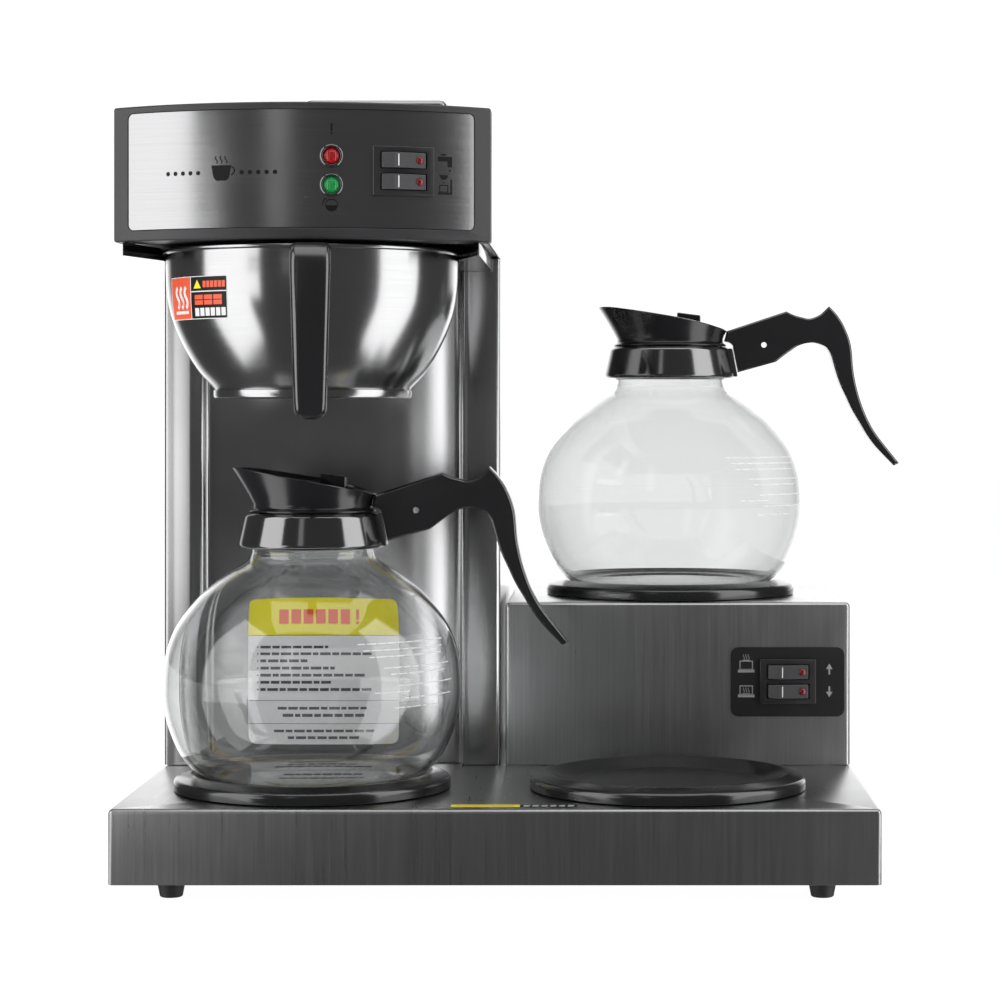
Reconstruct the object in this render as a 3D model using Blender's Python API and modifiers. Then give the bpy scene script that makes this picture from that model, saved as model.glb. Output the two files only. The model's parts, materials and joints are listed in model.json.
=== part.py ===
"""Commercial coffee brewer with three warmers, built as an assembly of separate pieces.

A wide stainless base carries two front warmers. A column on the left holds the water tank and an
overhanging head with the controls, the spray head and the slide-in brew funnel. A box on the right
holds the raised rear warmer. Two glass decanters stand on the left and the raised warmers.

The helpers take metres. +X is the machine's right as seen from the front, -Y is its front, +Z is up.
The origin is the middle of the whole outline, on the counter.
"""

import math

import bmesh
import bpy
from mathutils import Matrix, Vector

MM = 0.001
GAP = 0.3 * MM  # kept between pieces that touch
SHEET = 1.2 * MM  # stainless sheet of the casings
FOLD = 2.5 * MM  # outer radius of a folded sheet edge
CORNER_CLEAR = 0.8 * MM  # keeps a flat plate out of a folded corner's inner radius
TURN_STEPS = 32  # facets round a turned piece

# Base
BASE_X = -16.55 * MM  # middle of the base, left of the origin because a decanter handle overhangs
FRONT_Y = -159.37 * MM  # front face of the base
BASE_WIDTH = 400 * MM
BASE_DEPTH = 341 * MM
FOOT_HEIGHT = 10 * MM
DECK_Z = 49.3 * MM
FOOT_INSET = 29 * MM  # foot centre from the side of the base
FOOT_SETBACK = 25 * MM  # foot centre from its front or back

# Column and raised warmer box
COLUMN_Y0 = FRONT_Y + 176 * MM
COLUMN_Y1 = FRONT_Y + 325 * MM
COLUMN_X0 = BASE_X - 200 * MM
COLUMN_X1 = BASE_X - 4.5 * MM
FLANGE = 23 * MM  # front flanges beside the recessed panel
RECESS = 10 * MM
BOX_X0 = BASE_X - 1.5 * MM
BOX_X1 = BASE_X + 199 * MM
BOX_Z1 = 144 * MM
COVER_SETBACK = 2.5 * MM  # rear cover of the box, inside the folded sheet
BASE_Y1 = FRONT_Y + BASE_DEPTH

# Head
HEAD_X = BASE_X - 103 * MM  # also the axis of the funnel and of the left warmer
HEAD_Z0 = 344 * MM
HEAD_Z1 = 415 * MM
HOOD_Z1 = 405 * MM
HOOD_Y0 = FRONT_Y + 46.3 * MM
HOOD_CORNER = 35 * MM  # rounded rear top corner
BEZEL_HALF = 99.5 * MM
BEZEL_RADIUS = 180 * MM  # bow of the control panel, in plan
BEZEL_CENTRE_Y = FRONT_Y + 182 * MM
BEZEL_WALL = 4 * MM
PLATE_HALF = 90.8 * MM
PLATE_Z0 = 350 * MM
PLATE_Z1 = 411 * MM
PLATE_SINK = 0.5 * MM  # control plate below the bezel's face
PLATE_THICK = 1.0 * MM
LAMP_OFFSET = 18.4 * MM  # along X from the middle of the head
SWITCH_OFFSET = 54.9 * MM
RED_LAMP_Z = 387 * MM
GREEN_LAMP_Z = 372 * MM
HEAD_SWITCH_Z = 379.6 * MM

# Twin rocker switch
SWITCH_W, SWITCH_H = 32.6 * MM, 25.8 * MM
SWITCH_BODY_W, SWITCH_BODY_H = 29.6 * MM, 22.8 * MM
SWITCH_LIP = 1.6 * MM
SWITCH_DEPTH = 18 * MM
ROCKER_PITCH = 11.2 * MM
ROCKER_H = 8 * MM
ROCKER_REACH = 12.1 * MM  # pivot to the end of the rocker
ROCKER_PIVOT = 3 * MM  # pivot behind the switch face
BOX_SWITCH_X = BASE_X + 162.7 * MM
BOX_SWITCH_Z = 98.2 * MM

# Warmers
WARMER_Y = FRONT_Y + 82 * MM
WARMERS = {
    "left_warmer": (HEAD_X, WARMER_Y, DECK_Z),
    "right_warmer": (BASE_X + 91 * MM, WARMER_Y, DECK_Z),
    "rear_warmer": (BASE_X + 96 * MM, FRONT_Y + 258 * MM, BOX_Z1),
}
WARMER_SEAT = 4.4 * MM  # dished seat above the surface that the warmer stands on
ELEMENT_HOLE = 45 * MM

# Funnel
FUNNEL_LIP_Z = 339.8 * MM
FUNNEL_TURN = math.radians(5.5)  # the handle stands a little to the right of the middle
GUIDE_Z0 = 336.6 * MM

# Fill lid on the hood
LID_X0, LID_X1 = HEAD_X - 4 * MM, HEAD_X + 74 * MM
LID_Y0, LID_Y1 = FRONT_Y + 70 * MM, FRONT_Y + 175 * MM
LID_Z1 = 424 * MM
LID_PIN_Y, LID_PIN_Z = LID_Y1 + 5.5 * MM, HOOD_Z1 + 5.2 * MM
PIN_RADIUS = 1.6 * MM
PIN_HOLE = 1.75 * MM

# Water tank
TANK_X0, TANK_X1 = COLUMN_X0 + 14 * MM, COLUMN_X1 - 14 * MM
TANK_Y0, TANK_Y1 = COLUMN_Y0 + 22 * MM, COLUMN_Y1 - 35 * MM
TANK_Z0, TANK_Z1 = DECK_Z + 16 * MM, 316 * MM
TUBE_STAND = 2 * MM  # the water tubes end just over the tank's lid

# Cable gland and water inlet in the rear cover
GLAND_X = COLUMN_X0 + 40 * MM
INLET_X = COLUMN_X1 - 42 * MM
SERVICE_Z = DECK_Z + 42 * MM


def collection(name):
    made = bpy.data.collections.new(name)
    bpy.context.scene.collection.children.link(made)
    return made


for old in list(bpy.data.objects):
    bpy.data.objects.remove(old, do_unlink=True)
PARTS = collection("coffee_brewer")
CUTTERS = collection("cutters")


def material(name, colour, roughness, metallic=0.0, transmission=0.0):
    made = bpy.data.materials.new(name)
    made.use_nodes = True
    shader = made.node_tree.nodes["Principled BSDF"]
    shader.inputs["Base Color"].default_value = (*colour, 1)
    shader.inputs["Roughness"].default_value = roughness
    shader.inputs["Metallic"].default_value = metallic
    shader.inputs["Transmission Weight"].default_value = transmission
    return made


STEEL = material("stainless", (0.42, 0.42, 0.43), 0.3, 1.0)
BRIGHT = material("polished_stainless", (0.6, 0.6, 0.61), 0.18, 1.0)
BLACK = material("black_plastic", (0.02, 0.02, 0.022), 0.35)
SATIN = material("satin_black_plastic", (0.045, 0.045, 0.047), 0.5)
ENAMEL = material("black_enamel", (0.012, 0.012, 0.013), 0.3)
RUBBER = material("foot_rubber", (0.02, 0.02, 0.02), 0.8)
GLASS = material("decanter_glass", (0.9, 0.93, 0.93), 0.02, 0.0, 1.0)
RED = material("red_lens", (0.6, 0.02, 0.02), 0.2)
GREEN = material("green_lens", (0.02, 0.45, 0.1), 0.2)
BRASS = material("brass", (0.6, 0.45, 0.2), 0.3, 1.0)
MICA = material("heater_mica", (0.35, 0.3, 0.22), 0.7)


# ---------------------------------------------------------------- modelling helpers


def add(name, mesh, finish, helper=False):
    obj = bpy.data.objects.new(name, mesh)
    (CUTTERS if helper else PARTS).objects.link(obj)
    if helper:
        obj.hide_render = True
        obj.display_type = "WIRE"
    elif not mesh.materials:
        mesh.materials.append(finish)
    return obj


def box(name, low, high, finish=None, bevel=0.0, helper=False):
    """A block between two corners, its edges rounded by bevel."""
    low, high = Vector(low), Vector(high)
    bm = bmesh.new()
    bmesh.ops.create_cube(bm, size=1)
    size = high - low
    bmesh.ops.transform(bm, matrix=Matrix.LocRotScale((low + high) / 2, None, size), verts=bm.verts)
    mesh = bpy.data.meshes.new(name)
    bm.to_mesh(mesh)
    bm.free()
    obj = add(name, mesh, finish, helper)
    if bevel:
        modifier = obj.modifiers.new("edges", "BEVEL")
        modifier.width = bevel
        modifier.segments = 2
    return obj


def open_box(name, low, high, open_sides, finish, radius=FOLD):
    """A folded sheet casing: a box without the sides named by their outward normals."""
    low, high = Vector(low), Vector(high)
    bm = bmesh.new()
    bmesh.ops.create_cube(bm, size=1)
    size = high - low
    bmesh.ops.transform(bm, matrix=Matrix.LocRotScale((low + high) / 2, None, size), verts=bm.verts)
    gone = [f for f in bm.faces if any(f.normal.dot(Vector(s)) > 0.9 for s in open_sides)]
    bmesh.ops.delete(bm, geom=gone, context="FACES")
    folds = [e for e in bm.edges if len(e.link_faces) == 2]
    bmesh.ops.bevel(bm, geom=folds, offset=radius, segments=3, profile=0.5, affect="EDGES")
    mesh = bpy.data.meshes.new(name)
    bm.to_mesh(mesh)
    bm.free()
    obj = add(name, mesh, finish)
    thicken(obj, SHEET)
    return obj


def thicken(obj, thickness, side=-1):
    modifier = obj.modifiers.new("sheet", "SOLIDIFY")
    modifier.thickness = thickness
    modifier.offset = side
    modifier.use_even_offset = True


def turned(name, profile, finish, at=(0, 0, 0), steps=TURN_STEPS):
    """A solid of revolution about Z: a closed (radius, z) outline, or one that starts and ends at
    radius 0."""
    area = sum(a[0] * b[1] - b[0] * a[1] for a, b in zip(profile, profile[1:] + profile[:1]))
    if area > 0:
        profile = profile[::-1]
    bm = bmesh.new()
    points = [bm.verts.new((r, 0, z)) for r, z in profile]
    on_axis = profile[0][0] == 0
    for a, b in zip(points, points[1:] + ([] if on_axis else points[:1])):
        bm.edges.new((a, b))
    mesh = bpy.data.meshes.new(name)
    bm.to_mesh(mesh)
    bm.free()
    obj = add(name, mesh, finish)
    obj.location = at
    modifier = obj.modifiers.new("turn", "SCREW")
    modifier.steps = modifier.render_steps = steps
    modifier.use_merge_vertices = True
    modifier.merge_threshold = 1e-6
    modifier.use_smooth_shade = True
    return obj


def rod(name, start, end, radius, finish=None, steps=20, helper=False):
    """A round bar between two points."""
    start, end = Vector(start), Vector(end)
    bm = bmesh.new()
    length = (end - start).length
    bmesh.ops.create_cone(
        bm, cap_ends=True, segments=steps, radius1=radius, radius2=radius, depth=length
    )
    turn = Vector((0, 0, 1)).rotation_difference(end - start).to_matrix().to_4x4()
    bmesh.ops.transform(bm, matrix=Matrix.Translation((start + end) / 2) @ turn, verts=bm.verts)
    mesh = bpy.data.meshes.new(name)
    bm.to_mesh(mesh)
    bm.free()
    return add(name, mesh, finish, helper)


def meshed(name, curve, matrix, finish, helper):
    """A curve object made a welded mesh, so that it can be cut and joined."""
    source = bpy.data.objects.new(name + "_curve", curve)
    bpy.context.scene.collection.objects.link(source)
    bpy.context.view_layer.update()
    evaluated = source.evaluated_get(bpy.context.evaluated_depsgraph_get())
    mesh = bpy.data.meshes.new_from_object(evaluated)
    bpy.data.objects.remove(source)
    bm = bmesh.new()
    bm.from_mesh(mesh)
    bmesh.ops.remove_doubles(bm, verts=bm.verts, dist=1e-6)
    bmesh.ops.recalc_face_normals(bm, faces=bm.faces)
    bmesh.ops.transform(bm, matrix=matrix, verts=bm.verts)
    bm.to_mesh(mesh)
    bm.free()
    mesh.materials.clear()
    return add(name, mesh, finish, helper)


def extruded(name, outline, depth, finish=None, matrix=None, edge=0.0, smooth=False, helper=False):
    """A flat outline given thickness along its local Z, centred on the outline's plane. edge rounds
    its rim, and smooth runs a curve through the points."""
    curve = bpy.data.curves.new(name, "CURVE")
    curve.dimensions = "2D"
    curve.fill_mode = "BOTH"
    curve.extrude = depth / 2 - edge
    curve.bevel_depth = edge
    curve.bevel_resolution = 0
    curve.offset = -edge
    if smooth:
        spline = curve.splines.new("BEZIER")
        spline.bezier_points.add(len(outline) - 1)
        for point, (x, y, *corner) in zip(spline.bezier_points, outline):
            point.co = (x, y, 0)
            kind = "VECTOR" if corner else "AUTO"
            point.handle_left_type = point.handle_right_type = kind
        curve.resolution_u = 3
    else:
        spline = curve.splines.new("POLY")
        spline.points.add(len(outline) - 1)
        for point, (x, y) in zip(spline.points, outline):
            point.co = (x, y, 0, 1)
    spline.use_cyclic_u = True
    return meshed(name, curve, matrix or Matrix.Identity(4), finish, helper)


def tube(name, points, radius, finish):
    """A bent tube or bar along a smooth path through the points."""
    curve = bpy.data.curves.new(name, "CURVE")
    curve.dimensions = "3D"
    curve.bevel_depth = radius
    curve.bevel_resolution = 2
    curve.use_fill_caps = True
    spline = curve.splines.new("POLY")
    spline.points.add(len(points) - 1)
    for point, place in zip(spline.points, points):
        point.co = (*place, 1)
    return meshed(name, curve, Matrix.Identity(4), finish, False)


def cut(obj, cutter, how="DIFFERENCE"):
    modifier = obj.modifiers.new(cutter.name, "BOOLEAN")
    modifier.operation = how
    modifier.solver = "EXACT"
    modifier.object = cutter


def join(obj, other):
    cut(obj, other, "UNION")


def arc(x, y, radius, start, end, steps):
    """Points along an arc, by angles in degrees."""
    turns = [math.radians(start + (end - start) * i / steps) for i in range(steps + 1)]
    return [(x + radius * math.cos(t), y + radius * math.sin(t)) for t in turns]


def round_rect(x0, y0, x1, y1, radius, steps=4):
    corners = ((x1, y1, 0), (x0, y1, 90), (x0, y0, 180), (x1, y0, 270))
    points = []
    for x, y, start in corners:
        inset_x = x - math.copysign(radius, x - (x0 + x1) / 2)
        inset_y = y - math.copysign(radius, y - (y0 + y1) / 2)
        points += arc(inset_x, inset_y, radius, start, start + 90, steps)
    return points


def rounded(points, radius, steps=3):
    """An open polyline with its inner corners rounded."""
    result = [points[0]]
    for before, corner, after in zip(points, points[1:], points[2:]):
        before, corner, after = Vector(before), Vector(corner), Vector(after)
        one = corner + (before - corner).normalized() * radius
        two = corner + (after - corner).normalized() * radius
        for i in range(steps + 1):
            t = i / steps
            result.append(tuple(one * (1 - t) ** 2 + corner * 2 * t * (1 - t) + two * t * t))
    return result + [points[-1]]


# ---------------------------------------------------------------- base


def make_base():
    x0, x1 = BASE_X - BASE_WIDTH / 2, BASE_X + BASE_WIDTH / 2
    shell = open_box(
        "base_shell", (x0, FRONT_Y, FOOT_HEIGHT), (x1, BASE_Y1, DECK_Z), [(0, 0, -1)], STEEL
    )
    for name in ("left_warmer", "right_warmer"):
        x, y, z = WARMERS[name]
        ends = (x, y, z - 10 * MM), (x, y, z + 10 * MM)
        cut(shell, rod(name + "_hole", *ends, ELEMENT_HOLE, helper=True))

    # Bottom pan with rows of cooling slots
    inset = SHEET + CORNER_CLEAR
    pan_z = FOOT_HEIGHT + 1 * MM
    pan = box(
        "base_pan",
        (x0 + inset, FRONT_Y + inset, pan_z),
        (x1 - inset, BASE_Y1 - inset, pan_z + SHEET),
        STEEL,
    )
    for i in range(5):
        slot_x = BASE_X + (i - 2) * 46 * MM
        slot = box(
            f"pan_slot_{i}",
            (slot_x - 3 * MM, FRONT_Y + 210 * MM, pan_z - 5 * MM),
            (slot_x + 3 * MM, FRONT_Y + 270 * MM, pan_z + 5 * MM),
            helper=True,
        )
        cut(pan, slot)

    foot = [(0, 0), (5.5, 0), (6.2, 0.8), (7.6, 8.4), (8.4, 8.6), (8.4, 10.7), (0, 10.7)]
    for side, x in (("left", x0 + FOOT_INSET), ("right", x1 - FOOT_INSET)):
        for end, y in (("front", FRONT_Y + FOOT_SETBACK), ("rear", BASE_Y1 - FOOT_SETBACK)):
            profile = [(r * MM, z * MM) for r, z in foot]
            turned(f"{end}_{side}_foot", profile, RUBBER, (x, y, 0), steps=16)


# ---------------------------------------------------------------- warmers


def make_warmers():
    """Each warmer is a dished plate over a heating element that hangs in a hole in the casing."""
    plate = [
        (0, 4.4), (52.6, 4.4), (64.2, 9.4), (65.8, 9.4), (73.9, 6.9), (75.3, 5.6), (75.3, 0.5),
        (73.7, 0.5), (73.7, 5.0), (65, 7.7), (53.1, 2.8), (0, 2.8),
    ]
    element = [(0, 2.5), (42, 2.5), (42, -1.6), (14, -1.6), (12, -8), (0, -8)]
    for name, place in WARMERS.items():
        turned(name + "_plate", [(r * MM, z * MM) for r, z in plate], ENAMEL, place, 32)
        turned(name + "_element", [(r * MM, z * MM) for r, z in element], MICA, place, 20)


# ---------------------------------------------------------------- column


def make_column():
    """One folded sheet with a recessed front panel between two flanges, closed by a rear cover."""
    plan = [
        (COLUMN_X0, COLUMN_Y1 - SHEET - GAP),
        (COLUMN_X0, COLUMN_Y0),
        (COLUMN_X0 + FLANGE, COLUMN_Y0),
        (COLUMN_X0 + FLANGE, COLUMN_Y0 + RECESS),
        (COLUMN_X1 - FLANGE, COLUMN_Y0 + RECESS),
        (COLUMN_X1 - FLANGE, COLUMN_Y0),
        (COLUMN_X1, COLUMN_Y0),
        (COLUMN_X1, COLUMN_Y1 - SHEET - GAP),
    ]
    bm = bmesh.new()
    points = [bm.verts.new((x, y, DECK_Z + GAP)) for x, y in rounded(plan, FOLD)]
    edges = [bm.edges.new(pair) for pair in zip(points, points[1:])]
    lifted = bmesh.ops.extrude_edge_only(bm, edges=edges)["geom"]
    tops = [v for v in lifted if isinstance(v, bmesh.types.BMVert)]
    bmesh.ops.translate(bm, verts=tops, vec=(0, 0, HEAD_Z0 - DECK_Z - GAP))
    mesh = bpy.data.meshes.new("column_shell")
    bm.to_mesh(mesh)
    bm.free()
    thicken(add("column_shell", mesh, STEEL), SHEET, side=1)

    cover = box(
        "column_rear_cover",
        (COLUMN_X0, COLUMN_Y1 - SHEET, DECK_Z + GAP),
        (COLUMN_X1, COLUMN_Y1, HEAD_Z0),
        STEEL,
    )
    for name, x, z, radius in (("gland", GLAND_X, SERVICE_Z, 8), ("inlet", INLET_X, SERVICE_Z, 7.4)):
        ends = (x, COLUMN_Y1 - 9 * MM, z), (x, COLUMN_Y1 + 9 * MM, z)
        cut(cover, rod(name + "_hole", *ends, radius * MM, helper=True))


# ---------------------------------------------------------------- raised warmer box


def make_warmer_box():
    low = (BOX_X0, COLUMN_Y0, DECK_Z + GAP)
    high = (BOX_X1, BASE_Y1, BOX_Z1)
    shell = open_box("warmer_box_shell", low, high, [(0, 0, -1), (0, 1, 0)], STEEL)
    x, y, z = WARMERS["rear_warmer"]
    ends = (x, y, z - 10 * MM), (x, y, z + 10 * MM)
    cut(shell, rod("rear_warmer_hole", *ends, ELEMENT_HOLE, helper=True))
    window = switch_window("box_switch_hole")
    window.location = (BOX_SWITCH_X, COLUMN_Y0, BOX_SWITCH_Z)
    cut(shell, window)

    inset = SHEET + CORNER_CLEAR
    back = BASE_Y1 - COVER_SETBACK
    box(
        "warmer_box_rear_cover",
        (BOX_X0 + inset, back - SHEET, DECK_Z + 1 * MM),
        (BOX_X1 - inset, back, BOX_Z1 - inset),
        STEEL,
    )

    # Black label plate round the switch
    label = extruded(
        "warmer_label_plate",
        round_rect(-33.2 * MM, -20.4 * MM, 32.9 * MM, 19.9 * MM, 4.4 * MM),
        0.6 * MM,
        BLACK,
        Matrix.Rotation(math.radians(90), 4, "X"),
    )
    label.location = (BOX_SWITCH_X, COLUMN_Y0 - GAP - 0.3 * MM, BOX_SWITCH_Z)
    cut(label, window)
    place = (BOX_SWITCH_X, COLUMN_Y0 - 1.2 * MM, BOX_SWITCH_Z)
    make_switch("warmer_switch", ("rear_rocker", "front_rocker"), place, 0)


# ---------------------------------------------------------------- switches and lamps


def switch_window(name):
    """The cutter for a switch's hole in a panel, in the switch's own frame."""
    half_w, half_h = SWITCH_BODY_W / 2 + GAP, SWITCH_BODY_H / 2 + GAP
    return box(name, (-half_w, -9 * MM, -half_h), (half_w, 9 * MM, half_h), helper=True)


def make_switch(name, rockers, place, turn):
    """A housing with a lip against the panel and two pockets, and a rocker in each pocket. The lip's
    back lies against the panel, and turn faces the switch along the panel's normal."""
    housing = box(
        name + "_housing",
        (-SWITCH_W / 2, -SWITCH_LIP, -SWITCH_H / 2),
        (SWITCH_W / 2, 0, SWITCH_H / 2),
        BLACK,
        bevel=0.4 * MM,
    )
    body = box(
        name + "_body",
        (-SWITCH_BODY_W / 2, -0.6 * MM, -SWITCH_BODY_H / 2),
        (SWITCH_BODY_W / 2, SWITCH_DEPTH, SWITCH_BODY_H / 2),
        helper=True,
    )
    join(housing, body)
    half_w, half_h = ROCKER_REACH + GAP, ROCKER_H / 2 + GAP
    pocket_depth = ROCKER_PIVOT - SWITCH_LIP + 8 * MM
    for i, rocker in enumerate(rockers):
        z = (0.5 - i) * ROCKER_PITCH
        pocket = box(
            f"{rocker}_pocket",
            (-half_w, -5 * MM, z - half_h),
            (half_w, pocket_depth, z + half_h),
            helper=True,
        )
        cut(housing, pocket)
        pocket.parent = housing
        piece = extruded(rocker, rocker_outline(), ROCKER_H, BLACK, edge=0.3 * MM)
        pivot = Vector((0, ROCKER_PIVOT - SWITCH_LIP, z))
        piece.location = Vector(place) + Matrix.Rotation(turn, 3, "Z") @ pivot
        piece.rotation_euler = (0, 0, turn)
    body.parent = housing
    housing.location = place
    housing.rotation_euler = (0, 0, turn)


def rocker_outline():
    """A rocker's plan about its pivot: ends round about the pivot, and a crease near its left end."""
    left = arc(0, 0, ROCKER_REACH, 199, 161, 4)
    right = arc(0, 0, ROCKER_REACH, 19, -17, 4)
    crease = (-6 * MM, -6.6 * MM)
    return [crease, *left, *right]


def make_lamp(name, lens, z):
    """A pilot lamp: a black ring through the control plate and a coloured lens in it."""
    turn = math.asin(LAMP_OFFSET / BEZEL_RADIUS)
    face = BEZEL_RADIUS - PLATE_SINK + GAP
    place = (
        HEAD_X + face * math.sin(turn),
        BEZEL_CENTRE_Y - face * math.cos(turn),
        z,
    )
    ring = [(4.4, 1.2), (5.6, 1.2), (6.1, 0.7), (6.1, 0), (4.9, 0), (4.9, -9), (4.4, -9)]
    dome = [(0, 2.1), (2.2, 1.8), (3.6, 1.0), (4.1, 0), (4.1, -8), (0, -8)]
    for part, profile, finish in (("ring", ring, BLACK), ("lens", dome, lens)):
        piece = turned(f"{name}_{part}", [(r * MM, h * MM) for r, h in profile], finish, place, 18)
        piece.rotation_euler = (math.radians(90), 0, turn)
    hole = rod(name + "_hole", (0, 0, -8 * MM), (0, 0, 8 * MM), 5.2 * MM, helper=True)
    hole.location = place
    hole.rotation_euler = (math.radians(90), 0, turn)
    return hole


# ---------------------------------------------------------------- head


def bowed(name, half, front_radius, back_radius, z0, z1, corner=0.0, finish=None, helper=False):
    """A slab bowed like the control panel: round about the bezel's centre, cut off at half its width."""
    turn = math.degrees(math.asin(half / front_radius))
    back = math.degrees(math.asin(half / back_radius))
    outline = arc(0, 0, front_radius, -90 - turn, -90 + turn, 14)
    outline += arc(0, 0, back_radius, -90 + back, -90 - back, 14)
    lift = Matrix.Translation((HEAD_X, BEZEL_CENTRE_Y, (z0 + z1) / 2))
    slab = extruded(name, outline, z1 - z0, finish, lift, helper=helper)
    if corner:
        shape = extruded(
            name + "_corners",
            round_rect(-half, z0, half, z1, corner),
            80 * MM,
            matrix=Matrix.Translation((HEAD_X, FRONT_Y + 20 * MM, 0))
            @ Matrix.Rotation(math.radians(90), 4, "X"),
            helper=True,
        )
        cut(slab, shape, "INTERSECT")
    return slab


def make_bezel():
    """The black frame of the control panel: bowed in front, straight behind, and hollow."""
    turn = math.degrees(math.asin(BEZEL_HALF / BEZEL_RADIUS))
    back_y = HOOD_Y0 - GAP - BEZEL_CENTRE_Y
    outline = arc(0, 0, BEZEL_RADIUS, -90 - turn, -90 + turn, 16)
    outline += [(BEZEL_HALF, back_y), (-BEZEL_HALF, back_y)]
    lift = Matrix.Translation((HEAD_X, BEZEL_CENTRE_Y, (HEAD_Z0 + HEAD_Z1) / 2))
    bezel = extruded("head_bezel", outline, HEAD_Z1 - HEAD_Z0, SATIN, lift, edge=0.8 * MM)

    inner = BEZEL_RADIUS - BEZEL_WALL
    half = BEZEL_HALF - BEZEL_WALL
    turn = math.degrees(math.asin(half / inner))
    outline = arc(0, 0, inner, -90 - turn, -90 + turn, 16)
    outline += [(half, back_y + 20 * MM), (-half, back_y + 20 * MM)]
    cavity_z0, cavity_z1 = HEAD_Z0 + 3 * MM, HOOD_Z1 - 2.5 * MM
    lift = Matrix.Translation((HEAD_X, BEZEL_CENTRE_Y, (cavity_z0 + cavity_z1) / 2))
    cut(bezel, extruded("bezel_cavity", outline, cavity_z1 - cavity_z0, matrix=lift, helper=True))
    seat = BEZEL_RADIUS - PLATE_SINK - PLATE_THICK - GAP
    cut(
        bezel,
        bowed(
            "bezel_seat", PLATE_HALF + GAP, BEZEL_RADIUS + 9 * MM, seat,
            PLATE_Z0 - GAP, PLATE_Z1 + GAP, 3.3 * MM, helper=True,
        ),
    )
    window = bowed(
        "bezel_window", PLATE_HALF - 5 * MM, BEZEL_RADIUS + 9 * MM, inner - 9 * MM,
        PLATE_Z0 + 5 * MM, PLATE_Z1 - 11 * MM, helper=True,
    )
    cut(bezel, window)


def make_control_panel():
    front = BEZEL_RADIUS - PLATE_SINK
    plate = bowed(
        "control_plate", PLATE_HALF, front, front - PLATE_THICK, PLATE_Z0, PLATE_Z1, 3 * MM, BRIGHT
    )
    cut(plate, make_lamp("red_lamp", RED, RED_LAMP_Z))
    cut(plate, make_lamp("green_lamp", GREEN, GREEN_LAMP_Z))

    turn = math.asin(SWITCH_OFFSET / BEZEL_RADIUS)
    normal = Vector((math.sin(turn), -math.cos(turn), 0))
    centre = Vector((HEAD_X, BEZEL_CENTRE_Y, HEAD_SWITCH_Z))
    window = switch_window("head_switch_hole")
    window.location = centre + normal * front
    window.rotation_euler = (0, 0, turn)
    cut(plate, window)
    # A flat lip on a bowed plate: the lip rests on the crown of the bow
    make_switch("head_switch", ("water_rocker", "brew_rocker"), centre + normal * (front + GAP), turn)


def make_hood():
    """The stainless hood: open in front and below, with a rounded rear top corner."""
    y1, z0 = COLUMN_Y1, HEAD_Z0 + GAP
    corner = arc(y1 - HOOD_CORNER, HOOD_Z1 - HOOD_CORNER, HOOD_CORNER, 90, 0, 8)
    side = [(HOOD_Y0, z0), (HOOD_Y0, HOOD_Z1), *corner, (y1, z0)]
    bm = bmesh.new()
    ends = []
    for x in (COLUMN_X0, COLUMN_X1):
        ends.append([bm.verts.new((x, y, z)) for y, z in side])
        bm.faces.new(ends[-1])
    for i in range(1, len(side) - 1):
        bm.faces.new((ends[0][i], ends[0][i + 1], ends[1][i + 1], ends[1][i]))
    bmesh.ops.recalc_face_normals(bm, faces=bm.faces)
    mesh = bpy.data.meshes.new("head_hood")
    bm.to_mesh(mesh)
    bm.free()
    hood = add("head_hood", mesh, STEEL)
    thicken(hood, SHEET)
    opening = box(
        "fill_opening",
        (LID_X0 + 5 * MM, LID_Y0 + 6 * MM, HOOD_Z1 - 9 * MM),
        (LID_X1 - 5 * MM, LID_Y1 - 6 * MM, HOOD_Z1 + 9 * MM),
        helper=True,
    )
    cut(hood, opening)


def make_head_floor():
    """The floor of the overhang, the spray head in it, and the slotted guide that holds the funnel."""
    inset = SHEET + CORNER_CLEAR
    floor = box(
        "head_floor",
        (COLUMN_X0 + inset, HOOD_Y0 + GAP, HEAD_Z0 + 1 * MM),
        (COLUMN_X1 - inset, COLUMN_Y0 + 20 * MM, HEAD_Z0 + 1 * MM + SHEET),
        STEEL,
    )
    ends = (HEAD_X, WARMER_Y, HEAD_Z0 - 5 * MM), (HEAD_X, WARMER_Y, HEAD_Z0 + 9 * MM)
    cut(floor, rod("spray_hole", *ends, 20 * MM, helper=True))
    spray = [
        (0, 343.2), (26, 343.2), (26, 344.4), (19, 344.6), (19, 349), (6, 351), (6, 355), (0, 355),
    ]
    turned("spray_head", [(r * MM, z * MM) for r, z in spray], BRIGHT, (HEAD_X, WARMER_Y, 0), 24)

    x0, x1 = COLUMN_X0 + 3 * MM, COLUMN_X1 - 4.5 * MM
    y0, y1 = FRONT_Y + 22 * MM, COLUMN_Y0 - 3 * MM
    z1 = HEAD_Z0 - GAP
    guide = extruded(
        "funnel_guide",
        round_rect(x0, y0, x1, y1, 5 * MM),
        z1 - GUIDE_Z0,
        BLACK,
        Matrix.Translation((0, 0, (GUIDE_Z0 + z1) / 2)),
    )
    ledge_z = FUNNEL_LIP_Z - GAP
    for name, half, z0 in (("slot", 80.3 * MM, GUIDE_Z0 - 5 * MM), ("groove", 82.3 * MM, ledge_z)):
        outline = arc(HEAD_X, WARMER_Y, half, 0, 180, 18)
        # The slot's mouth flares, so that the funnel's lip finds its way in
        flare = 100 * MM
        outline += [(HEAD_X - half, WARMER_Y - 10 * MM), (HEAD_X - flare, y0 - 25 * MM)]
        outline += [(HEAD_X + flare, y0 - 25 * MM), (HEAD_X + half, WARMER_Y - 10 * MM)]
        height = z1 + 5 * MM - z0
        lift = Matrix.Translation((0, 0, z0 + height / 2))
        cut(guide, extruded("guide_" + name, outline, height, matrix=lift, helper=True))


# ---------------------------------------------------------------- fill basin and lid


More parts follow.
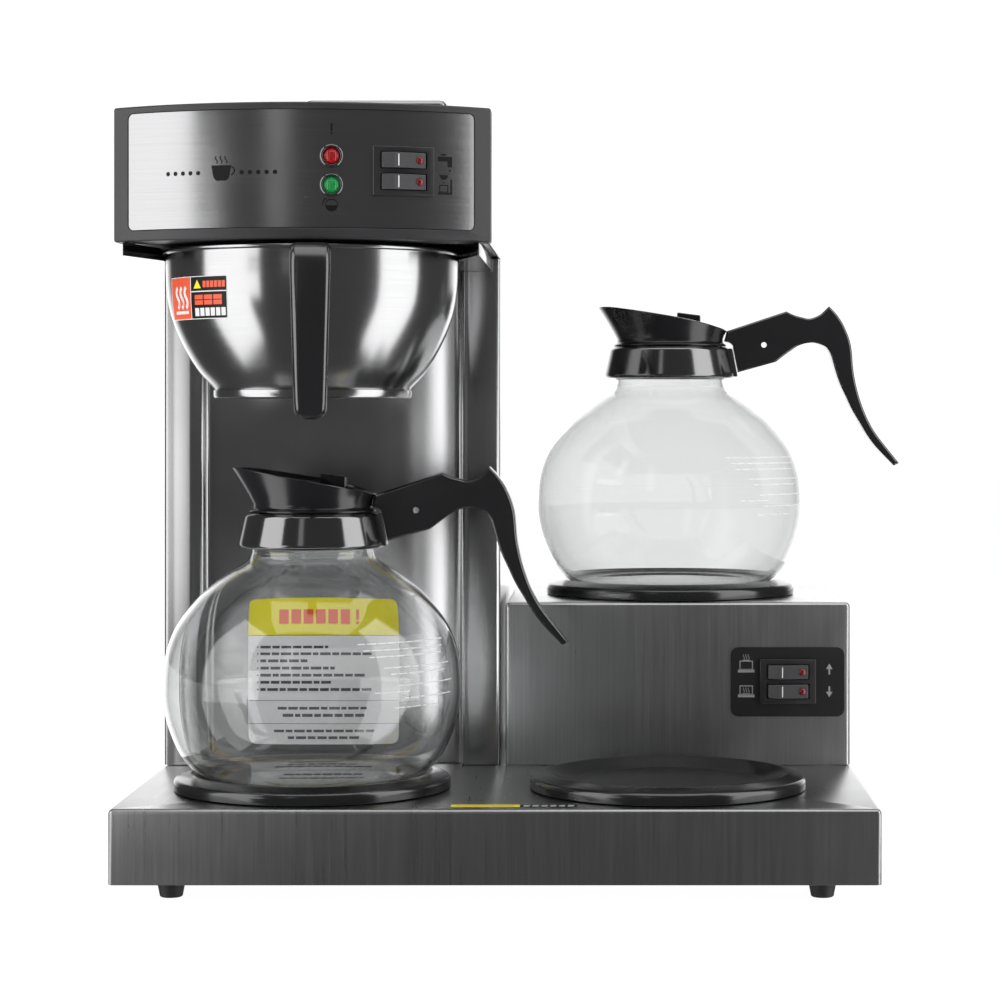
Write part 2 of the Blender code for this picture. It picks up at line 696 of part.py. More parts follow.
def make_fill():
    basin = open_box(
        "fill_basin",
        (LID_X0 + 3 * MM, LID_Y0 + 4 * MM, HOOD_Z1 - 32 * MM),
        (LID_X1 - 3 * MM, LID_Y1 - 4 * MM, HOOD_Z1 - SHEET - GAP),
        [(0, 0, 1)],
        STEEL,
        radius=4 * MM,
    )
    drain_x, drain_y = (LID_X0 + LID_X1) / 2, LID_Y1 - 18 * MM
    floor_z = HOOD_Z1 - 32 * MM
    ends = (drain_x, drain_y, floor_z - 5 * MM), (drain_x, drain_y, floor_z + 5 * MM)
    cut(basin, rod("drain_hole", *ends, 5 * MM, helper=True))
    path = [
        (drain_x, drain_y, floor_z - GAP),
        (drain_x, drain_y, floor_z - 8 * MM),
        (drain_x, drain_y + 8 * MM, floor_z - 15 * MM),
        (drain_x, TANK_Y0 + 4 * MM, floor_z - 18 * MM),
        (drain_x, TANK_Y0 + 16 * MM, floor_z - 26 * MM),
        (drain_x, TANK_Y0 + 17 * MM, TANK_Z1 + 12 * MM),
        (drain_x, TANK_Y0 + 17 * MM, TANK_Z1 + TUBE_STAND),
    ]
    tube("fill_tube", path, 5 * MM, BRIGHT)

    lid = open_box(
        "fill_lid",
        (LID_X0, LID_Y0, HOOD_Z1 + GAP),
        (LID_X1, LID_Y1, LID_Z1),
        [(0, 0, -1)],
        BRIGHT,
        radius=4 * MM,
    )
    middle = (LID_X0 + LID_X1) / 2
    knuckle_half, ear = 18 * MM, 8 * MM
    ends = (middle - knuckle_half, LID_PIN_Y, LID_PIN_Z), (middle + knuckle_half, LID_PIN_Y, LID_PIN_Z)
    join(lid, rod("lid_knuckle", *ends, 3.4 * MM, helper=True))
    web = box(
        "lid_web",
        (middle - knuckle_half, LID_Y1 - 0.9 * MM, LID_PIN_Z - 2 * MM),
        (middle + knuckle_half, LID_PIN_Y, LID_PIN_Z + 2 * MM),
        helper=True,
    )
    join(lid, web)
    outer = knuckle_half + GAP + ear
    ends = (middle - outer - MM, LID_PIN_Y, LID_PIN_Z), (middle + outer + MM, LID_PIN_Y, LID_PIN_Z)
    pin_hole = rod("lid_pin_hole", *ends, PIN_HOLE, helper=True)
    cut(lid, pin_hole)

    bracket = box(
        "lid_hinge_bracket",
        (middle - outer, LID_PIN_Y - 4 * MM, HOOD_Z1 + GAP),
        (middle + outer, LID_PIN_Y + 12 * MM, HOOD_Z1 + GAP + SHEET),
        STEEL,
    )
    for name, side in (("left_ear", -1), ("right_ear", 1)):
        near, far = middle + side * (knuckle_half + GAP), middle + side * outer
        ends = (near, LID_PIN_Y, LID_PIN_Z), (far, LID_PIN_Y, LID_PIN_Z)
        join(bracket, rod(name, *ends, 3.6 * MM, helper=True))
        post = box(
            name + "_post",
            (min(near, far), LID_PIN_Y - 3 * MM, HOOD_Z1 + 1 * MM),
            (max(near, far), LID_PIN_Y + 3 * MM, LID_PIN_Z),
            helper=True,
        )
        join(bracket, post)
    cut(bracket, pin_hole)
    ends = (middle - outer, LID_PIN_Y, LID_PIN_Z), (middle + outer, LID_PIN_Y, LID_PIN_Z)
    rod("lid_hinge_pin", *ends, PIN_RADIUS, BRIGHT)


# ---------------------------------------------------------------- water tank and services


def make_tank():
    low, high = (TANK_X0, TANK_Y0, TANK_Z0), (TANK_X1, TANK_Y1, TANK_Z1)
    open_box("water_tank", low, high, [(0, 0, 1)], STEEL, radius=8 * MM)
    lid = box(
        "tank_lid",
        (TANK_X0 - 3 * MM, TANK_Y0 - 3 * MM, TANK_Z1 + GAP),
        (TANK_X1 + 3 * MM, TANK_Y1 + 3 * MM, TANK_Z1 + GAP + SHEET),
        STEEL,
    )
    tank_y = (TANK_Y0 + TANK_Y1) / 2
    loop_x, loop_half = TANK_X0 + 40 * MM, 16 * MM
    top, bottom = TANK_Z1 + 12 * MM, TANK_Z0 + 30 * MM
    bend = [
        (loop_x + loop_half * math.cos(t), tank_y, bottom + loop_half * math.sin(t))
        for t in (math.pi + math.pi * i / 10 for i in range(11))
    ]
    path = [(loop_x - loop_half, tank_y, top), *bend, (loop_x + loop_half, tank_y, top)]
    tube("tank_heater", path, 4 * MM, BRIGHT)
    probe_x = TANK_X0 + 84 * MM
    probe = [(0, 15), (9, 15), (9, 2), (3, 2), (3, -90), (0, -90)]
    place = (probe_x, tank_y, TANK_Z1)
    turned("tank_thermostat", [(r * MM, z * MM) for r, z in probe], BRASS, place, 20)
    holes = ((loop_x - loop_half, 4.6), (loop_x + loop_half, 4.6), (probe_x, 3.5))
    for i, (x, radius) in enumerate(holes):
        ends = (x, tank_y, TANK_Z1 - 8 * MM), (x, tank_y, TANK_Z1 + 8 * MM)
        cut(lid, rod(f"tank_lid_hole_{i}", *ends, radius * MM, helper=True))

    # Hot water rises through this tube and runs forward to the spray head
    over = HEAD_Z0 + 20 * MM
    path = [
        (HEAD_X, WARMER_Y, 355.4 * MM),
        (HEAD_X, WARMER_Y, over - 6 * MM),
        (HEAD_X, WARMER_Y + 6 * MM, over),
        (HEAD_X, TANK_Y0 + 20 * MM, over),
        (HEAD_X, TANK_Y0 + 27 * MM, over - 5 * MM),
        (HEAD_X, TANK_Y0 + 28 * MM, over - 14 * MM),
        (HEAD_X, TANK_Y0 + 28 * MM, TANK_Z1 + TUBE_STAND),
    ]
    tube("spray_tube", path, 4.5 * MM, BRIGHT)


def make_services():
    """The mains cable gland, and the water inlet fitting with its solenoid valve."""
    gland = [
        (4.4, 12), (7, 12), (8.6, 8), (11, 8), (11, GAP / MM), (7.4, GAP / MM), (7.4, -9), (4.4, -9),
    ]
    piece = turned("cable_gland", [(r * MM, z * MM) for r, z in gland], BLACK, steps=16)
    piece.location = (GLAND_X, COLUMN_Y1, SERVICE_Z)
    piece.rotation_euler = (math.radians(-90), 0, 0)
    inlet = [(4, 15), (6, 15), (6, 5), (10, 5), (10, GAP / MM), (6.8, GAP / MM), (6.8, -4), (4, -4)]
    piece = turned("water_inlet", [(r * MM, z * MM) for r, z in inlet], BRASS, steps=16)
    piece.location = (INLET_X, COLUMN_Y1, SERVICE_Z)
    piece.rotation_euler = (math.radians(-90), 0, 0)
    ends = (INLET_X, COLUMN_Y1 - 30 * MM, SERVICE_Z), (INLET_X, COLUMN_Y1 - 4.4 * MM, SERVICE_Z)
    valve = rod("inlet_valve", *ends, 8 * MM, SATIN)
    coil = box(
        "valve_coil",
        (INLET_X - 11 * MM, COLUMN_Y1 - 29 * MM, SERVICE_Z + 4 * MM),
        (INLET_X + 11 * MM, COLUMN_Y1 - 9 * MM, SERVICE_Z + 32 * MM),
        helper=True,
    )
    join(valve, coil)


# ---------------------------------------------------------------- funnel


def make_funnel():
    """The brew funnel, its handle and screw, and the wire rack that holds the paper filter."""
    lip = FUNNEL_LIP_Z / MM
    outer = [
        (6, 262), (53.6, 262), (53.6, 267.2), (61.5, 276.5), (68.6, 288), (74.1, 300), (77.4, 311),
        (79, 323), (79.4, 333), (79.4, lip), (81.6, lip), (81.6, lip + 1.8),
    ]
    inner = [
        (78.2, lip + 1.8), (78.2, 333), (77.8, 323), (76.2, 311.3), (73, 300.6), (67.6, 288.8),
        (60.6, 277.4), (52.4, 267.8), (52.4, 263.4), (6, 263.4),
    ]
    profile = [(r * MM, z * MM) for r, z in outer + inner]
    bowl = turned("funnel_bowl", profile, BRIGHT, (HEAD_X, WARMER_Y, 0), 36)

    # The handle's side outline: distance from the funnel's axis, and height
    outline = [
        (79.9, 334, 1), (82.7, 341.5, 1), (91.5, 341.5, 1), (99.6, 336), (103.2, 322), (103.5, 298),
        (100, 272), (95, 255), (90.5, 250.5), (86.5, 254), (88.5, 272), (92, 298), (90, 312),
        (85, 317.5), (79.9, 318.5, 1),
    ]
    points = [(r * MM, z * MM, *corner) for r, z, *corner in outline]
    stand = Matrix.Rotation(math.radians(90), 4, "X")
    handle = extruded("funnel_handle", points, 21 * MM, BLACK, stand, edge=3 * MM, smooth=True)
    for vertex in handle.data.vertices:
        drop = (341 * MM - vertex.co.z) / (91 * MM)
        vertex.co.y *= 1 - 0.26 * drop
    turn = FUNNEL_TURN - math.radians(90)
    handle.location = (HEAD_X, WARMER_Y, 0)
    handle.rotation_euler = (0, 0, turn)

    # The screw passes through the bowl's wall into the handle from inside
    direction = Matrix.Rotation(turn, 3, "Z") @ Vector((1, 0, 0))
    centre = Vector((HEAD_X, WARMER_Y, 328 * MM))

    def along(near, far):
        return centre + direction * near * MM, centre + direction * far * MM

    screw = rod("funnel_handle_screw", *along(76.4, 92), 2 * MM, BRIGHT, 16)
    join(screw, rod("screw_head", *along(75, 76.8), 3.6 * MM, helper=True, steps=16))
    hole = rod("screw_hole", *along(70, 92.4), 2.3 * MM, helper=True, steps=16)
    cut(bowl, hole)
    cut(handle, hole)

    rack = [(r * MM, z * MM) for r, z in ((46.5, 264), (49.5, 264), (49.5, 266.5), (46.5, 266.5))]
    ring = turned("filter_rack", rack, BRIGHT, (HEAD_X, WARMER_Y, 0), 24)
    for i in range(3):
        low, high = (-48 * MM, -1 * MM, 264.3 * MM), (48 * MM, 1 * MM, 266.2 * MM)
        bar = box(f"rack_bar_{i}", low, high, helper=True)
        bar.location = (HEAD_X, WARMER_Y, 0)
        bar.rotation_euler = (0, 0, math.radians(60 * i + 10))
        join(ring, bar)


# ---------------------------------------------------------------- decanters


def make_decanter(name, warmer):
    """A globe of glass with a clamped band, a collar and spout top over its neck, and a drop handle.
    Sizes are from the bottom of the glass; the spout points to -X and the handle to +X."""
    x, y, surface = WARMERS[warmer]
    place = Vector((x, y, surface + WARMER_SEAT + GAP))

    outer = [
        (0, 0), (52, 0), (62.4, 4.4), (71.4, 14.8), (77.8, 29.5), (81.1, 50), (79.5, 68.5), (73.6, 84.6),
        (62, 99.8), (47.5, 112), (37.6, 118.4), (33.4, 122), (33, 146),
    ]
    inner = [
        (30.8, 146), (31.2, 120.9), (36.3, 116.5), (46.2, 110.2), (60.4, 98.3), (71.6, 83.6),
        (77.3, 68), (78.9, 50), (75.7, 30.2), (69.6, 16.1), (61.2, 6.5), (51.6, 2.2), (0, 2.2),
    ]
    profile = [(r * MM, z * MM) for r, z in outer + inner]
    turned(name + "_glass", profile, GLASS, place)

    band = [(r * MM, z * MM) for r, z in ((33.4, 127.5), (34.4, 127.5), (34.4, 136.5), (33.4, 136.5))]
    turned(name + "_neck_band", band, BRIGHT, place)

    # Collar, with the bracket that carries the handle
    stand = Matrix.Rotation(math.radians(90), 4, "X")
    collar_outline = [
        (34.8, 126.6), (38.9, 126.6), (40.1, 128.2), (36.6, 144.4), (34.6, 145.9), (33.4, 146),
        (33.4, 137), (34.8, 137),
    ]
    collar = turned(name + "_collar", [(r * MM, z * MM) for r, z in collar_outline], BLACK, place)
    side = [(35.3, 127.8), (41.1, 127.8), (37.8, 145), (35.3, 145)]
    side = [(x * MM, z * MM) for x, z in side]
    bracket = extruded(name + "_bracket", side, 16 * MM, matrix=stand, edge=0.6 * MM, helper=True)
    bracket.location = place
    join(collar, bracket)

    make_spout_top(name, place)

    grip = [
        (35.4, 155.8, 1), (70.8, 167.6, 1), (77, 165.2), (85.1, 163.1), (91.5, 166), (96.8, 170.7, 1),
        (105.6, 158.7), (110.1, 146.9), (111.7, 131.2), (117.9, 107.7), (127.3, 90.5), (139.6, 75.1, 1),
        (136.4, 73.6, 1), (126.2, 84.2), (115.4, 99.9), (107, 115.6), (100.7, 131.2), (98, 140.6),
        (92.9, 146.9), (86.6, 148.5), (79, 147), (64.4, 136.8, 1), (41.4, 130.4, 1), (38.1, 146.8, 1),
        (35.4, 150, 1),
    ]
    points = [(u * MM, v * MM, *corner) for u, v, *corner in grip]
    handle = extruded(name + "_handle", points, 17 * MM, BLACK, stand, edge=1.5 * MM, smooth=True)
    handle.location = place
    ends = (57 * MM, -12 * MM, 147.1 * MM), (57 * MM, 12 * MM, 147.1 * MM)
    hole = rod(name + "_handle_hole", *ends, 1.7 * MM, helper=True, steps=16)
    hole.location = place
    cut(handle, hole)


def make_spout_top(name, place):
    """A loft: round below, and a bowed, slanted rim above that draws out to a lip at the spout."""
    back, tip = 34.6, 43.7
    rim_line = [(-44, 170.4), (-37, 170.2), (-26, 168.4), (-8, 165.4), (3, 163.6), (18.4, 160.6), (36, 155.8)]

    def rim_height(x):
        for (x0, z0), (x1, z1) in zip(rim_line, rim_line[1:]):
            if x <= x1:
                return z0 + (z1 - z0) * (x - x0) / (x1 - x0)

    def ring(radius, height):
        return lambda turn: (radius * math.cos(turn), radius * math.sin(turn), height)

    def rim(wall, drop):
        def point(turn):
            lip = ((1 - math.cos(turn)) / 2) ** 2.2
            radius = back + (tip - back) * lip - wall
            across = radius * (1 - 0.12 * lip)
            x = radius * math.cos(turn)
            return (x, across * math.sin(turn), rim_height(x) - drop)

        return point

    rings = [
        ring(6, 148), ring(28.3, 148), ring(28.3, 139), ring(30.3, 139), ring(30.3, 146.3),
        ring(34.4, 146.3), ring(34.4, 146.9), ring(32.6, 148), ring(32.2, 150), rim(0, 0), rim(1.8, 0),
        ring(29.6, 151.2), ring(6, 150.6),
    ]
    bm = bmesh.new()
    turns = [2 * math.pi * i / TURN_STEPS for i in range(TURN_STEPS)]
    loops = [[bm.verts.new(Vector(at(t)) * MM) for t in turns] for at in rings]
    for low, high in zip(loops, loops[1:] + loops[:1]):
        for i in range(TURN_STEPS):
            j = (i + 1) % TURN_STEPS
            bm.faces.new((low[i], low[j], high[j], high[i]))
    bmesh.ops.recalc_face_normals(bm, faces=bm.faces)
    mesh = bpy.data.meshes.new(name + "_spout_top")
    bm.to_mesh(mesh)
    bm.free()
    add(name + "_spout_top", mesh, BLACK).location = place


make_base()
make_warmers()
make_column()
make_warmer_box()
make_bezel()
make_control_panel()
make_hood()
make_head_floor()
make_fill()
make_tank()
make_services()
make_funnel()
make_decanter("left_decanter", "left_warmer")
make_decanter("rear_decanter", "rear_warmer")
for part in PARTS.objects:
    part.data.shade_smooth()
    part.data.set_sharp_from_angle(angle=math.radians(35))
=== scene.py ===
"""The looks of a commercial coffee brewer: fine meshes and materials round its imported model."""

import json
import math

import bmesh
import bpy
from mathutils import Matrix, Vector

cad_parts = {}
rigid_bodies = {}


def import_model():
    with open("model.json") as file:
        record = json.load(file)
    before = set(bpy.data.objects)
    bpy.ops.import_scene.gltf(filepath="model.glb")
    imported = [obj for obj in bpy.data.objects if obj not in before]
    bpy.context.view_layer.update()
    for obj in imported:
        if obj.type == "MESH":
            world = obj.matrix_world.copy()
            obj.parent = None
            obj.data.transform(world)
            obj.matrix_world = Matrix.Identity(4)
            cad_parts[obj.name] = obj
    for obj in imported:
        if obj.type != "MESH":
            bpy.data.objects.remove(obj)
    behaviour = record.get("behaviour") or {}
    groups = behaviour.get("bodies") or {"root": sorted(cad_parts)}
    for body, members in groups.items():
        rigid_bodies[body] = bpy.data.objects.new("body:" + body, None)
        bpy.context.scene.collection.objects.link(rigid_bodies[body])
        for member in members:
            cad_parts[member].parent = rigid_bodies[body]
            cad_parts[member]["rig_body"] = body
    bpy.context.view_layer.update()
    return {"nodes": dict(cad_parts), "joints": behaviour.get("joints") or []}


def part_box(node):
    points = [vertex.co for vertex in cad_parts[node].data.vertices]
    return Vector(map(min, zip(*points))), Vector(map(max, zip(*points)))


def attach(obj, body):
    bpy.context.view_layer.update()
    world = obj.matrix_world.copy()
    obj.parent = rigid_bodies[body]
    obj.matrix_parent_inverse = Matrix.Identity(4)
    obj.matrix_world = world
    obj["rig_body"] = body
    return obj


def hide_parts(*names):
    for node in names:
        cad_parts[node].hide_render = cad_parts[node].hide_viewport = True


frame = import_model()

MM = 0.001
AROUND = 128  # facets round a turned piece
GRAIN_ACROSS = 1100.0  # brushed scratches per metre across the grain
GRAIN_ALONG = 16.0


def middle(node):
    low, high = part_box(node)
    return (low + high) / 2


FUNNEL_X, WARMER_Y = middle("funnel_bowl").x, middle("left_warmer_plate").y
DECK_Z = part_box("base_shell")[1].z
COLUMN_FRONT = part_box("column_shell")[0].y
PANEL_Y = COLUMN_FRONT + 10 * MM  # recessed front panel of the column
LABEL_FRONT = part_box("warmer_label_plate")[0].y
PLATE_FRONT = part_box("control_plate")[0].y
PLATE_RADIUS = 179.5 * MM  # bow of the control plate, in plan
BOW_Y = PLATE_FRONT + PLATE_RADIUS
WARMER_RISE = 0.5 * MM  # the lower edge of a warmer plate, above the zero of its outline
FUNNEL_TURN = math.radians(5.5)  # the funnel's handle stands a little to the right
SWITCH_TURN, LAMP_TURN = math.asin(54.9 / 180), math.asin(18.4 / 180)  # about the bow's centre
LYING = Matrix.Rotation(math.radians(90), 4, "X")  # an outline stands up, a turned piece faces forwards
REARWARDS = Matrix.Rotation(math.radians(-90), 4, "X")


# ---------------------------------------------------------------- finishes


class Nodes:
    """A node tree whose nodes are added one call at a time."""

    def __init__(self, tree):
        self.tree = tree

    def feed(self, socket, value):
        if isinstance(value, bpy.types.NodeSocket):
            self.tree.links.new(value, socket)
        else:
            socket.default_value = (*value, 1) if socket.type == "RGBA" else value

    def node(self, kind, inputs=(), **settings):
        made = self.tree.nodes.new("ShaderNode" + kind)
        for key, value in settings.items():
            setattr(made, key, value)
        for key, value in dict(inputs).items():
            self.feed(made.inputs[key], value)
        return made

    def maths(self, operation, *values):
        return self.node("Math", enumerate(values), operation=operation).outputs[0]

    def vector(self, operation, *values):
        return self.node("VectorMath", enumerate(values), operation=operation).outputs[0]

    def parts(self, vector):
        return self.node("SeparateXYZ", {0: vector}).outputs

    def noise(self, place, scale=1.0, detail=3.0, rough=0.6):
        inputs = {"Vector": place, "Scale": scale, "Detail": detail, "Roughness": rough}
        return self.node("TexNoise", inputs).outputs[0]

    def spread(self, value, low, high, start=0.3, end=0.7):
        inputs = {"Value": value, "From Min": start, "From Max": end, "To Min": low, "To Max": high}
        return self.node("MapRange", inputs).outputs[0]

    def shades(self, value, dark, light, start=0.3, end=0.7):
        ramp = self.node("ValToRGB", {"Fac": value})
        for stop, place, colour in zip(ramp.color_ramp.elements, (start, end), (dark, light)):
            stop.position = place
            stop.color = (*colour, 1)
        return ramp.outputs["Color"]


class Finish(Nodes):
    """A material with a Principled shader."""

    def __init__(self, name, **values):
        self.material = bpy.data.materials.new(name)
        self.material.use_nodes = True
        super().__init__(self.material.node_tree)
        self.shader = self.tree.nodes["Principled BSDF"]
        for key, value in values.items():
            self.set(key.replace("_", " ").title().replace("Ior", "IOR"), value)
        self.place = self.node("TexCoord").outputs["Object"]

    def set(self, name, value):
        self.feed(self.shader.inputs[name], value)

    def bump(self, height, strength, distance):
        inputs = {"Height": height, "Strength": strength, "Distance": distance}
        self.set("Normal", self.node("Bump", inputs).outputs[0])


def tone(colour, factor):
    return tuple(min(1.0, c * factor) for c in colour)


def grain_scale(normal, along):
    return Vector([GRAIN_ALONG if axis in (normal, along) else GRAIN_ACROSS for axis in "xyz"])


def grain_side(normal, along):
    return Vector([float(axis not in (normal, along)) for axis in "xyz"])


def brushed(name, colour, roughness, front="z", side="z", top="y", contrast=0.09, streak=0.55, bow=()):
    """Brushed sheet. front, side and top give the axis that the grain follows on faces that look
    along Y, X and Z. bow lists sideways slopes of the front face at points along X, in mm, for
    sheet that has sprung a little between its folds."""
    finish = Finish(name, metallic=1.0, anisotropic=streak)
    facing = finish.vector("ABSOLUTE", finish.tree.nodes["Texture Coordinate"].outputs["Normal"])
    parts = finish.parts(facing)
    masks = finish.maths("GREATER_THAN", parts[0], 0.7), finish.maths("GREATER_THAN", parts[2], 0.7)

    def by_face(kinds):
        mixed = finish.vector("MULTIPLY_ADD", masks[0], kinds[1] - kinds[0], kinds[0])
        return finish.vector("MULTIPLY_ADD", masks[1], kinds[2] - kinds[0], mixed)

    runs = ("y", front), ("x", side), ("z", top)
    scale = by_face([grain_scale(*run) for run in runs])
    finish.set("Tangent", by_face([grain_side(*run) for run in runs]))
    lines = finish.noise(finish.vector("MULTIPLY", finish.place, scale))
    return worn_metal(finish, lines, colour, roughness, contrast, sprung(finish, bow) if bow else None)


def worn_metal(finish, lines, colour, roughness, contrast, normal=None):
    """Shades and roughness of a brushed metal from its grain, and the wiped smears of use. A
    normal that is given takes the place of the grain's relief."""
    smears = finish.noise(finish.place, 14.0, 4.0)
    dark, light = tone(colour, 1 - contrast), tone(colour, 1 + contrast)
    finish.set("Base Color", finish.shades(lines, dark, light, 0.2, 0.8))
    swing = 0.4 * contrast
    grained = finish.spread(lines, roughness - swing, roughness + swing, 0.2, 0.8)
    finish.set("Roughness", finish.maths("ADD", grained, finish.spread(smears, -0.02, 0.03)))
    if normal:
        finish.set("Normal", normal)
    else:
        finish.bump(lines, 0.05, 0.00002)
    return finish.material


def sprung(finish, bow):
    """The normal of faces that look along Y, leaned sideways by the slopes in bow."""
    start, end = bow[0][0], bow[-1][0]
    across = finish.parts(finish.place)[0]
    ramp = finish.node("ValToRGB", {"Fac": finish.spread(across, 0.0, 1.0, start * MM, end * MM)})
    ramp.color_ramp.interpolation = "EASE"
    stops = ramp.color_ramp.elements
    stops.remove(stops[1])
    for i, (x, slope) in enumerate(bow):
        place = (x - start) / (end - start)
        stop = stops.new(place) if i else stops[0]
        grey = 0.5 + slope / 2
        stop.color = (grey, grey, grey, 1)
    slope = finish.spread(ramp.outputs["Color"], -1.0, 1.0, 0.0, 1.0)
    normal = finish.node("NewGeometry").outputs["Normal"]
    front = finish.maths("GREATER_THAN", finish.maths("ABSOLUTE", finish.parts(normal)[1]), 0.7)
    lean = finish.node("CombineXYZ", {0: finish.maths("MULTIPLY", slope, front)}).outputs[0]
    return finish.vector("NORMALIZE", finish.vector("ADD", normal, lean))


def spun(name, colour, roughness, centre, contrast):
    """Metal brushed in rings about a vertical axis through centre."""
    finish = Finish(name, metallic=1.0, anisotropic=0.7, anisotropic_rotation=0.25)
    finish.set("Tangent", finish.node("Tangent", direction_type="RADIAL", axis="Z").outputs[0])
    local = finish.vector("SUBTRACT", finish.place, Vector(centre))
    parts = finish.parts(local)
    angle = finish.maths("ARCTAN2", parts[1], parts[0])
    level = finish.vector("MULTIPLY", local, Vector((1, 1, 0)))
    reach = finish.node("VectorMath", {0: level}, operation="LENGTH").outputs["Value"]
    rings = finish.node("CombineXYZ", {
        0: finish.maths("MULTIPLY", angle, 2.0),
        1: finish.maths("MULTIPLY", reach, GRAIN_ACROSS),
        2: finish.maths("MULTIPLY", parts[2], GRAIN_ACROSS),
    })
    return worn_metal(finish, finish.noise(rings.outputs[0]), colour, roughness, contrast)


def moulded(name, colour, roughness, grain, depth, sheen, ior=1.5, gloss=0.5):
    """Moulded plastic or rubber: a fine texture, uneven gloss and edges rubbed lighter."""
    finish = Finish(name, ior=ior, specular_ior_level=gloss)
    skin = finish.noise(finish.place, grain, 3.0)
    clouds = finish.noise(finish.place, 22.0, 4.0)
    edges = finish.node("NewGeometry").outputs["Pointiness"]
    worn = finish.spread(edges, 0.0, 1.0, 0.52, 0.62)
    rubbed = finish.maths("MULTIPLY", worn, finish.spread(clouds, 0.0, sheen, 0.4, 0.7))
    shade = finish.maths("ADD", finish.maths("MULTIPLY", clouds, 0.25), rubbed)
    finish.set("Base Color", finish.shades(shade, tone(colour, 0.85), tone(colour, 1.8), 0.0, 0.6))
    finish.set("Roughness", finish.spread(clouds, roughness * 0.85, roughness * 1.2))
    finish.bump(skin, 0.4, depth)
    return finish.material


def enamelled(name, colour):
    """Fired enamel: an even gloss over a faint orange peel, dulled a little where it is wiped."""
    finish = Finish(name, specular_ior_level=0.9)
    peel = finish.noise(finish.place, 420.0, 2.0)
    rubbed = finish.noise(finish.place, 35.0, 4.0)
    finish.set("Base Color", finish.shades(rubbed, colour, tone(colour, 1.25), 0.4, 0.8))
    finish.set("Roughness", finish.spread(rubbed, 0.15, 0.2))
    finish.bump(peel, 0.04, 0.00002)
    return finish.material


def clear_glass(name):
    """Clear glass. Lamps shine through it as through a faintly grey sheet."""
    finish = Finish(name, base_color=(0.92, 0.925, 0.925), transmission_weight=1.0, ior=1.47)
    wiped = finish.noise(finish.place, 30.0, 3.0)
    finish.set("Roughness", finish.spread(wiped, 0.0, 0.012))
    clear = finish.node("BsdfTransparent", {"Color": (0.93, 0.945, 0.94)})
    light = finish.node("LightPath").outputs["Is Shadow Ray"]
    mixed = finish.node("MixShader", {0: light, 1: finish.shader.outputs[0], 2: clear.outputs[0]})
    output = finish.tree.nodes["Material Output"]
    finish.feed(output.inputs["Surface"], mixed.outputs[0])
    return finish.material


def lens(name, colour, glow):
    """Coloured lens lit a little from behind, its shade varied by a fine noise."""
    finish = Finish(name, coat_weight=0.25, coat_roughness=0.05, emission_strength=glow)
    cloud = finish.noise(finish.place, 900.0, 2.0)
    shade = finish.shades(cloud, tone(colour, 0.7), colour)
    finish.set("Base Color", shade)
    finish.set("Emission Color", shade)
    finish.set("Roughness", finish.spread(cloud, 0.12, 0.3))
    return finish.material


def printed(name, colour, gloss=0.5):
    """Ink or a printed film: nearly flat, with a slight unevenness."""
    finish = Finish(name, specular_ior_level=gloss)
    fleck = finish.noise(finish.place, 700.0, 3.0)
    finish.set("Base Color", finish.shades(fleck, tone(colour, 0.93), colour))
    finish.set("Roughness", finish.spread(fleck, 0.39, 0.51))
    return finish.material


def cast(name, colour, roughness, metallic=0.0):
    """Plain machined or pressed material with a mottled surface."""
    finish = Finish(name, metallic=metallic)
    mottle = finish.noise(finish.place, 260.0, 5.0)
    finish.set("Base Color", finish.shades(mottle, tone(colour, 0.75), tone(colour, 1.15)))
    finish.set("Roughness", finish.spread(mottle, roughness - 0.08, roughness + 0.1))
    finish.bump(mottle, 0.2, 0.0001)
    return finish.material


STEEL = (0.34, 0.34, 0.344)
CASING = brushed("casing_steel", STEEL, 0.3)
BASE = brushed("base_steel", STEEL, 0.3, side="y", streak=0.4)
COLUMN_BOW = [
    (-219, -0.05), (-212, -0.09), (-209, -0.185), (-202, -0.195), (-200, 0.0), (-196, -0.12),
    (-180, -0.06), (-140, 0.0), (-100, 0.04), (-82, 0.08), (-70, 0.19), (-56, 0.26), (-49, 0.2),
    (-45, -0.02), (-41, 0.14), (-38, -0.08), (-19, -0.1),
]
COLUMN = brushed("column_steel", STEEL, 0.21, side="y", contrast=0.015, streak=0.2, bow=COLUMN_BOW)
BOX = brushed("box_steel", tone(STEEL, 1.3), 0.32, side="y", contrast=0.12, streak=0.4)
PANEL = brushed("control_panel_steel", STEEL, 0.24, front="x", side="y", top="x", contrast=0.05)
HOOD = brushed("hood_steel", tone(STEEL, 1.35), 0.27, side="y", contrast=0.05)
BRIGHT = cast("bright_steel", (0.62, 0.62, 0.63), 0.22, 1.0)
FUNNEL = spun("spun_steel", (0.38, 0.38, 0.384), 0.2, (FUNNEL_X, WARMER_Y, 0), 0.04)
GLOSS = moulded("gloss_black_plastic", (0.006, 0.006, 0.007), 0.12, 900.0, 0.00002, 0.12, 1.9, 1.0)
HANDLE = moulded("handle_plastic", (0.005, 0.005, 0.006), 0.2, 1400.0, 0.00005, 0.2, 1.65, 0.9)
SPOUT = moulded("spout_plastic", (0.006, 0.006, 0.007), 0.2, 900.0, 0.00002, 0.12, 1.5, 0.6)
SATIN = moulded("satin_black_plastic", (0.03, 0.03, 0.032), 0.42, 2600.0, 0.00012, 0.35)
SWITCH = moulded("switch_plastic", (0.02, 0.02, 0.021), 0.34, 2200.0, 0.00006, 0.3)
ROCKER = moulded("rocker_plastic", (0.055, 0.055, 0.058), 0.34, 2200.0, 0.00006, 0.3)
RUBBER = moulded("foot_rubber", (0.012, 0.012, 0.012), 0.6, 1500.0, 0.0002, 0.4)
FILM = moulded("label_film", (0.012, 0.012, 0.013), 0.4, 3000.0, 0.00003, 0.1)
ENAMEL = enamelled("black_enamel", (0.009, 0.009, 0.0095))
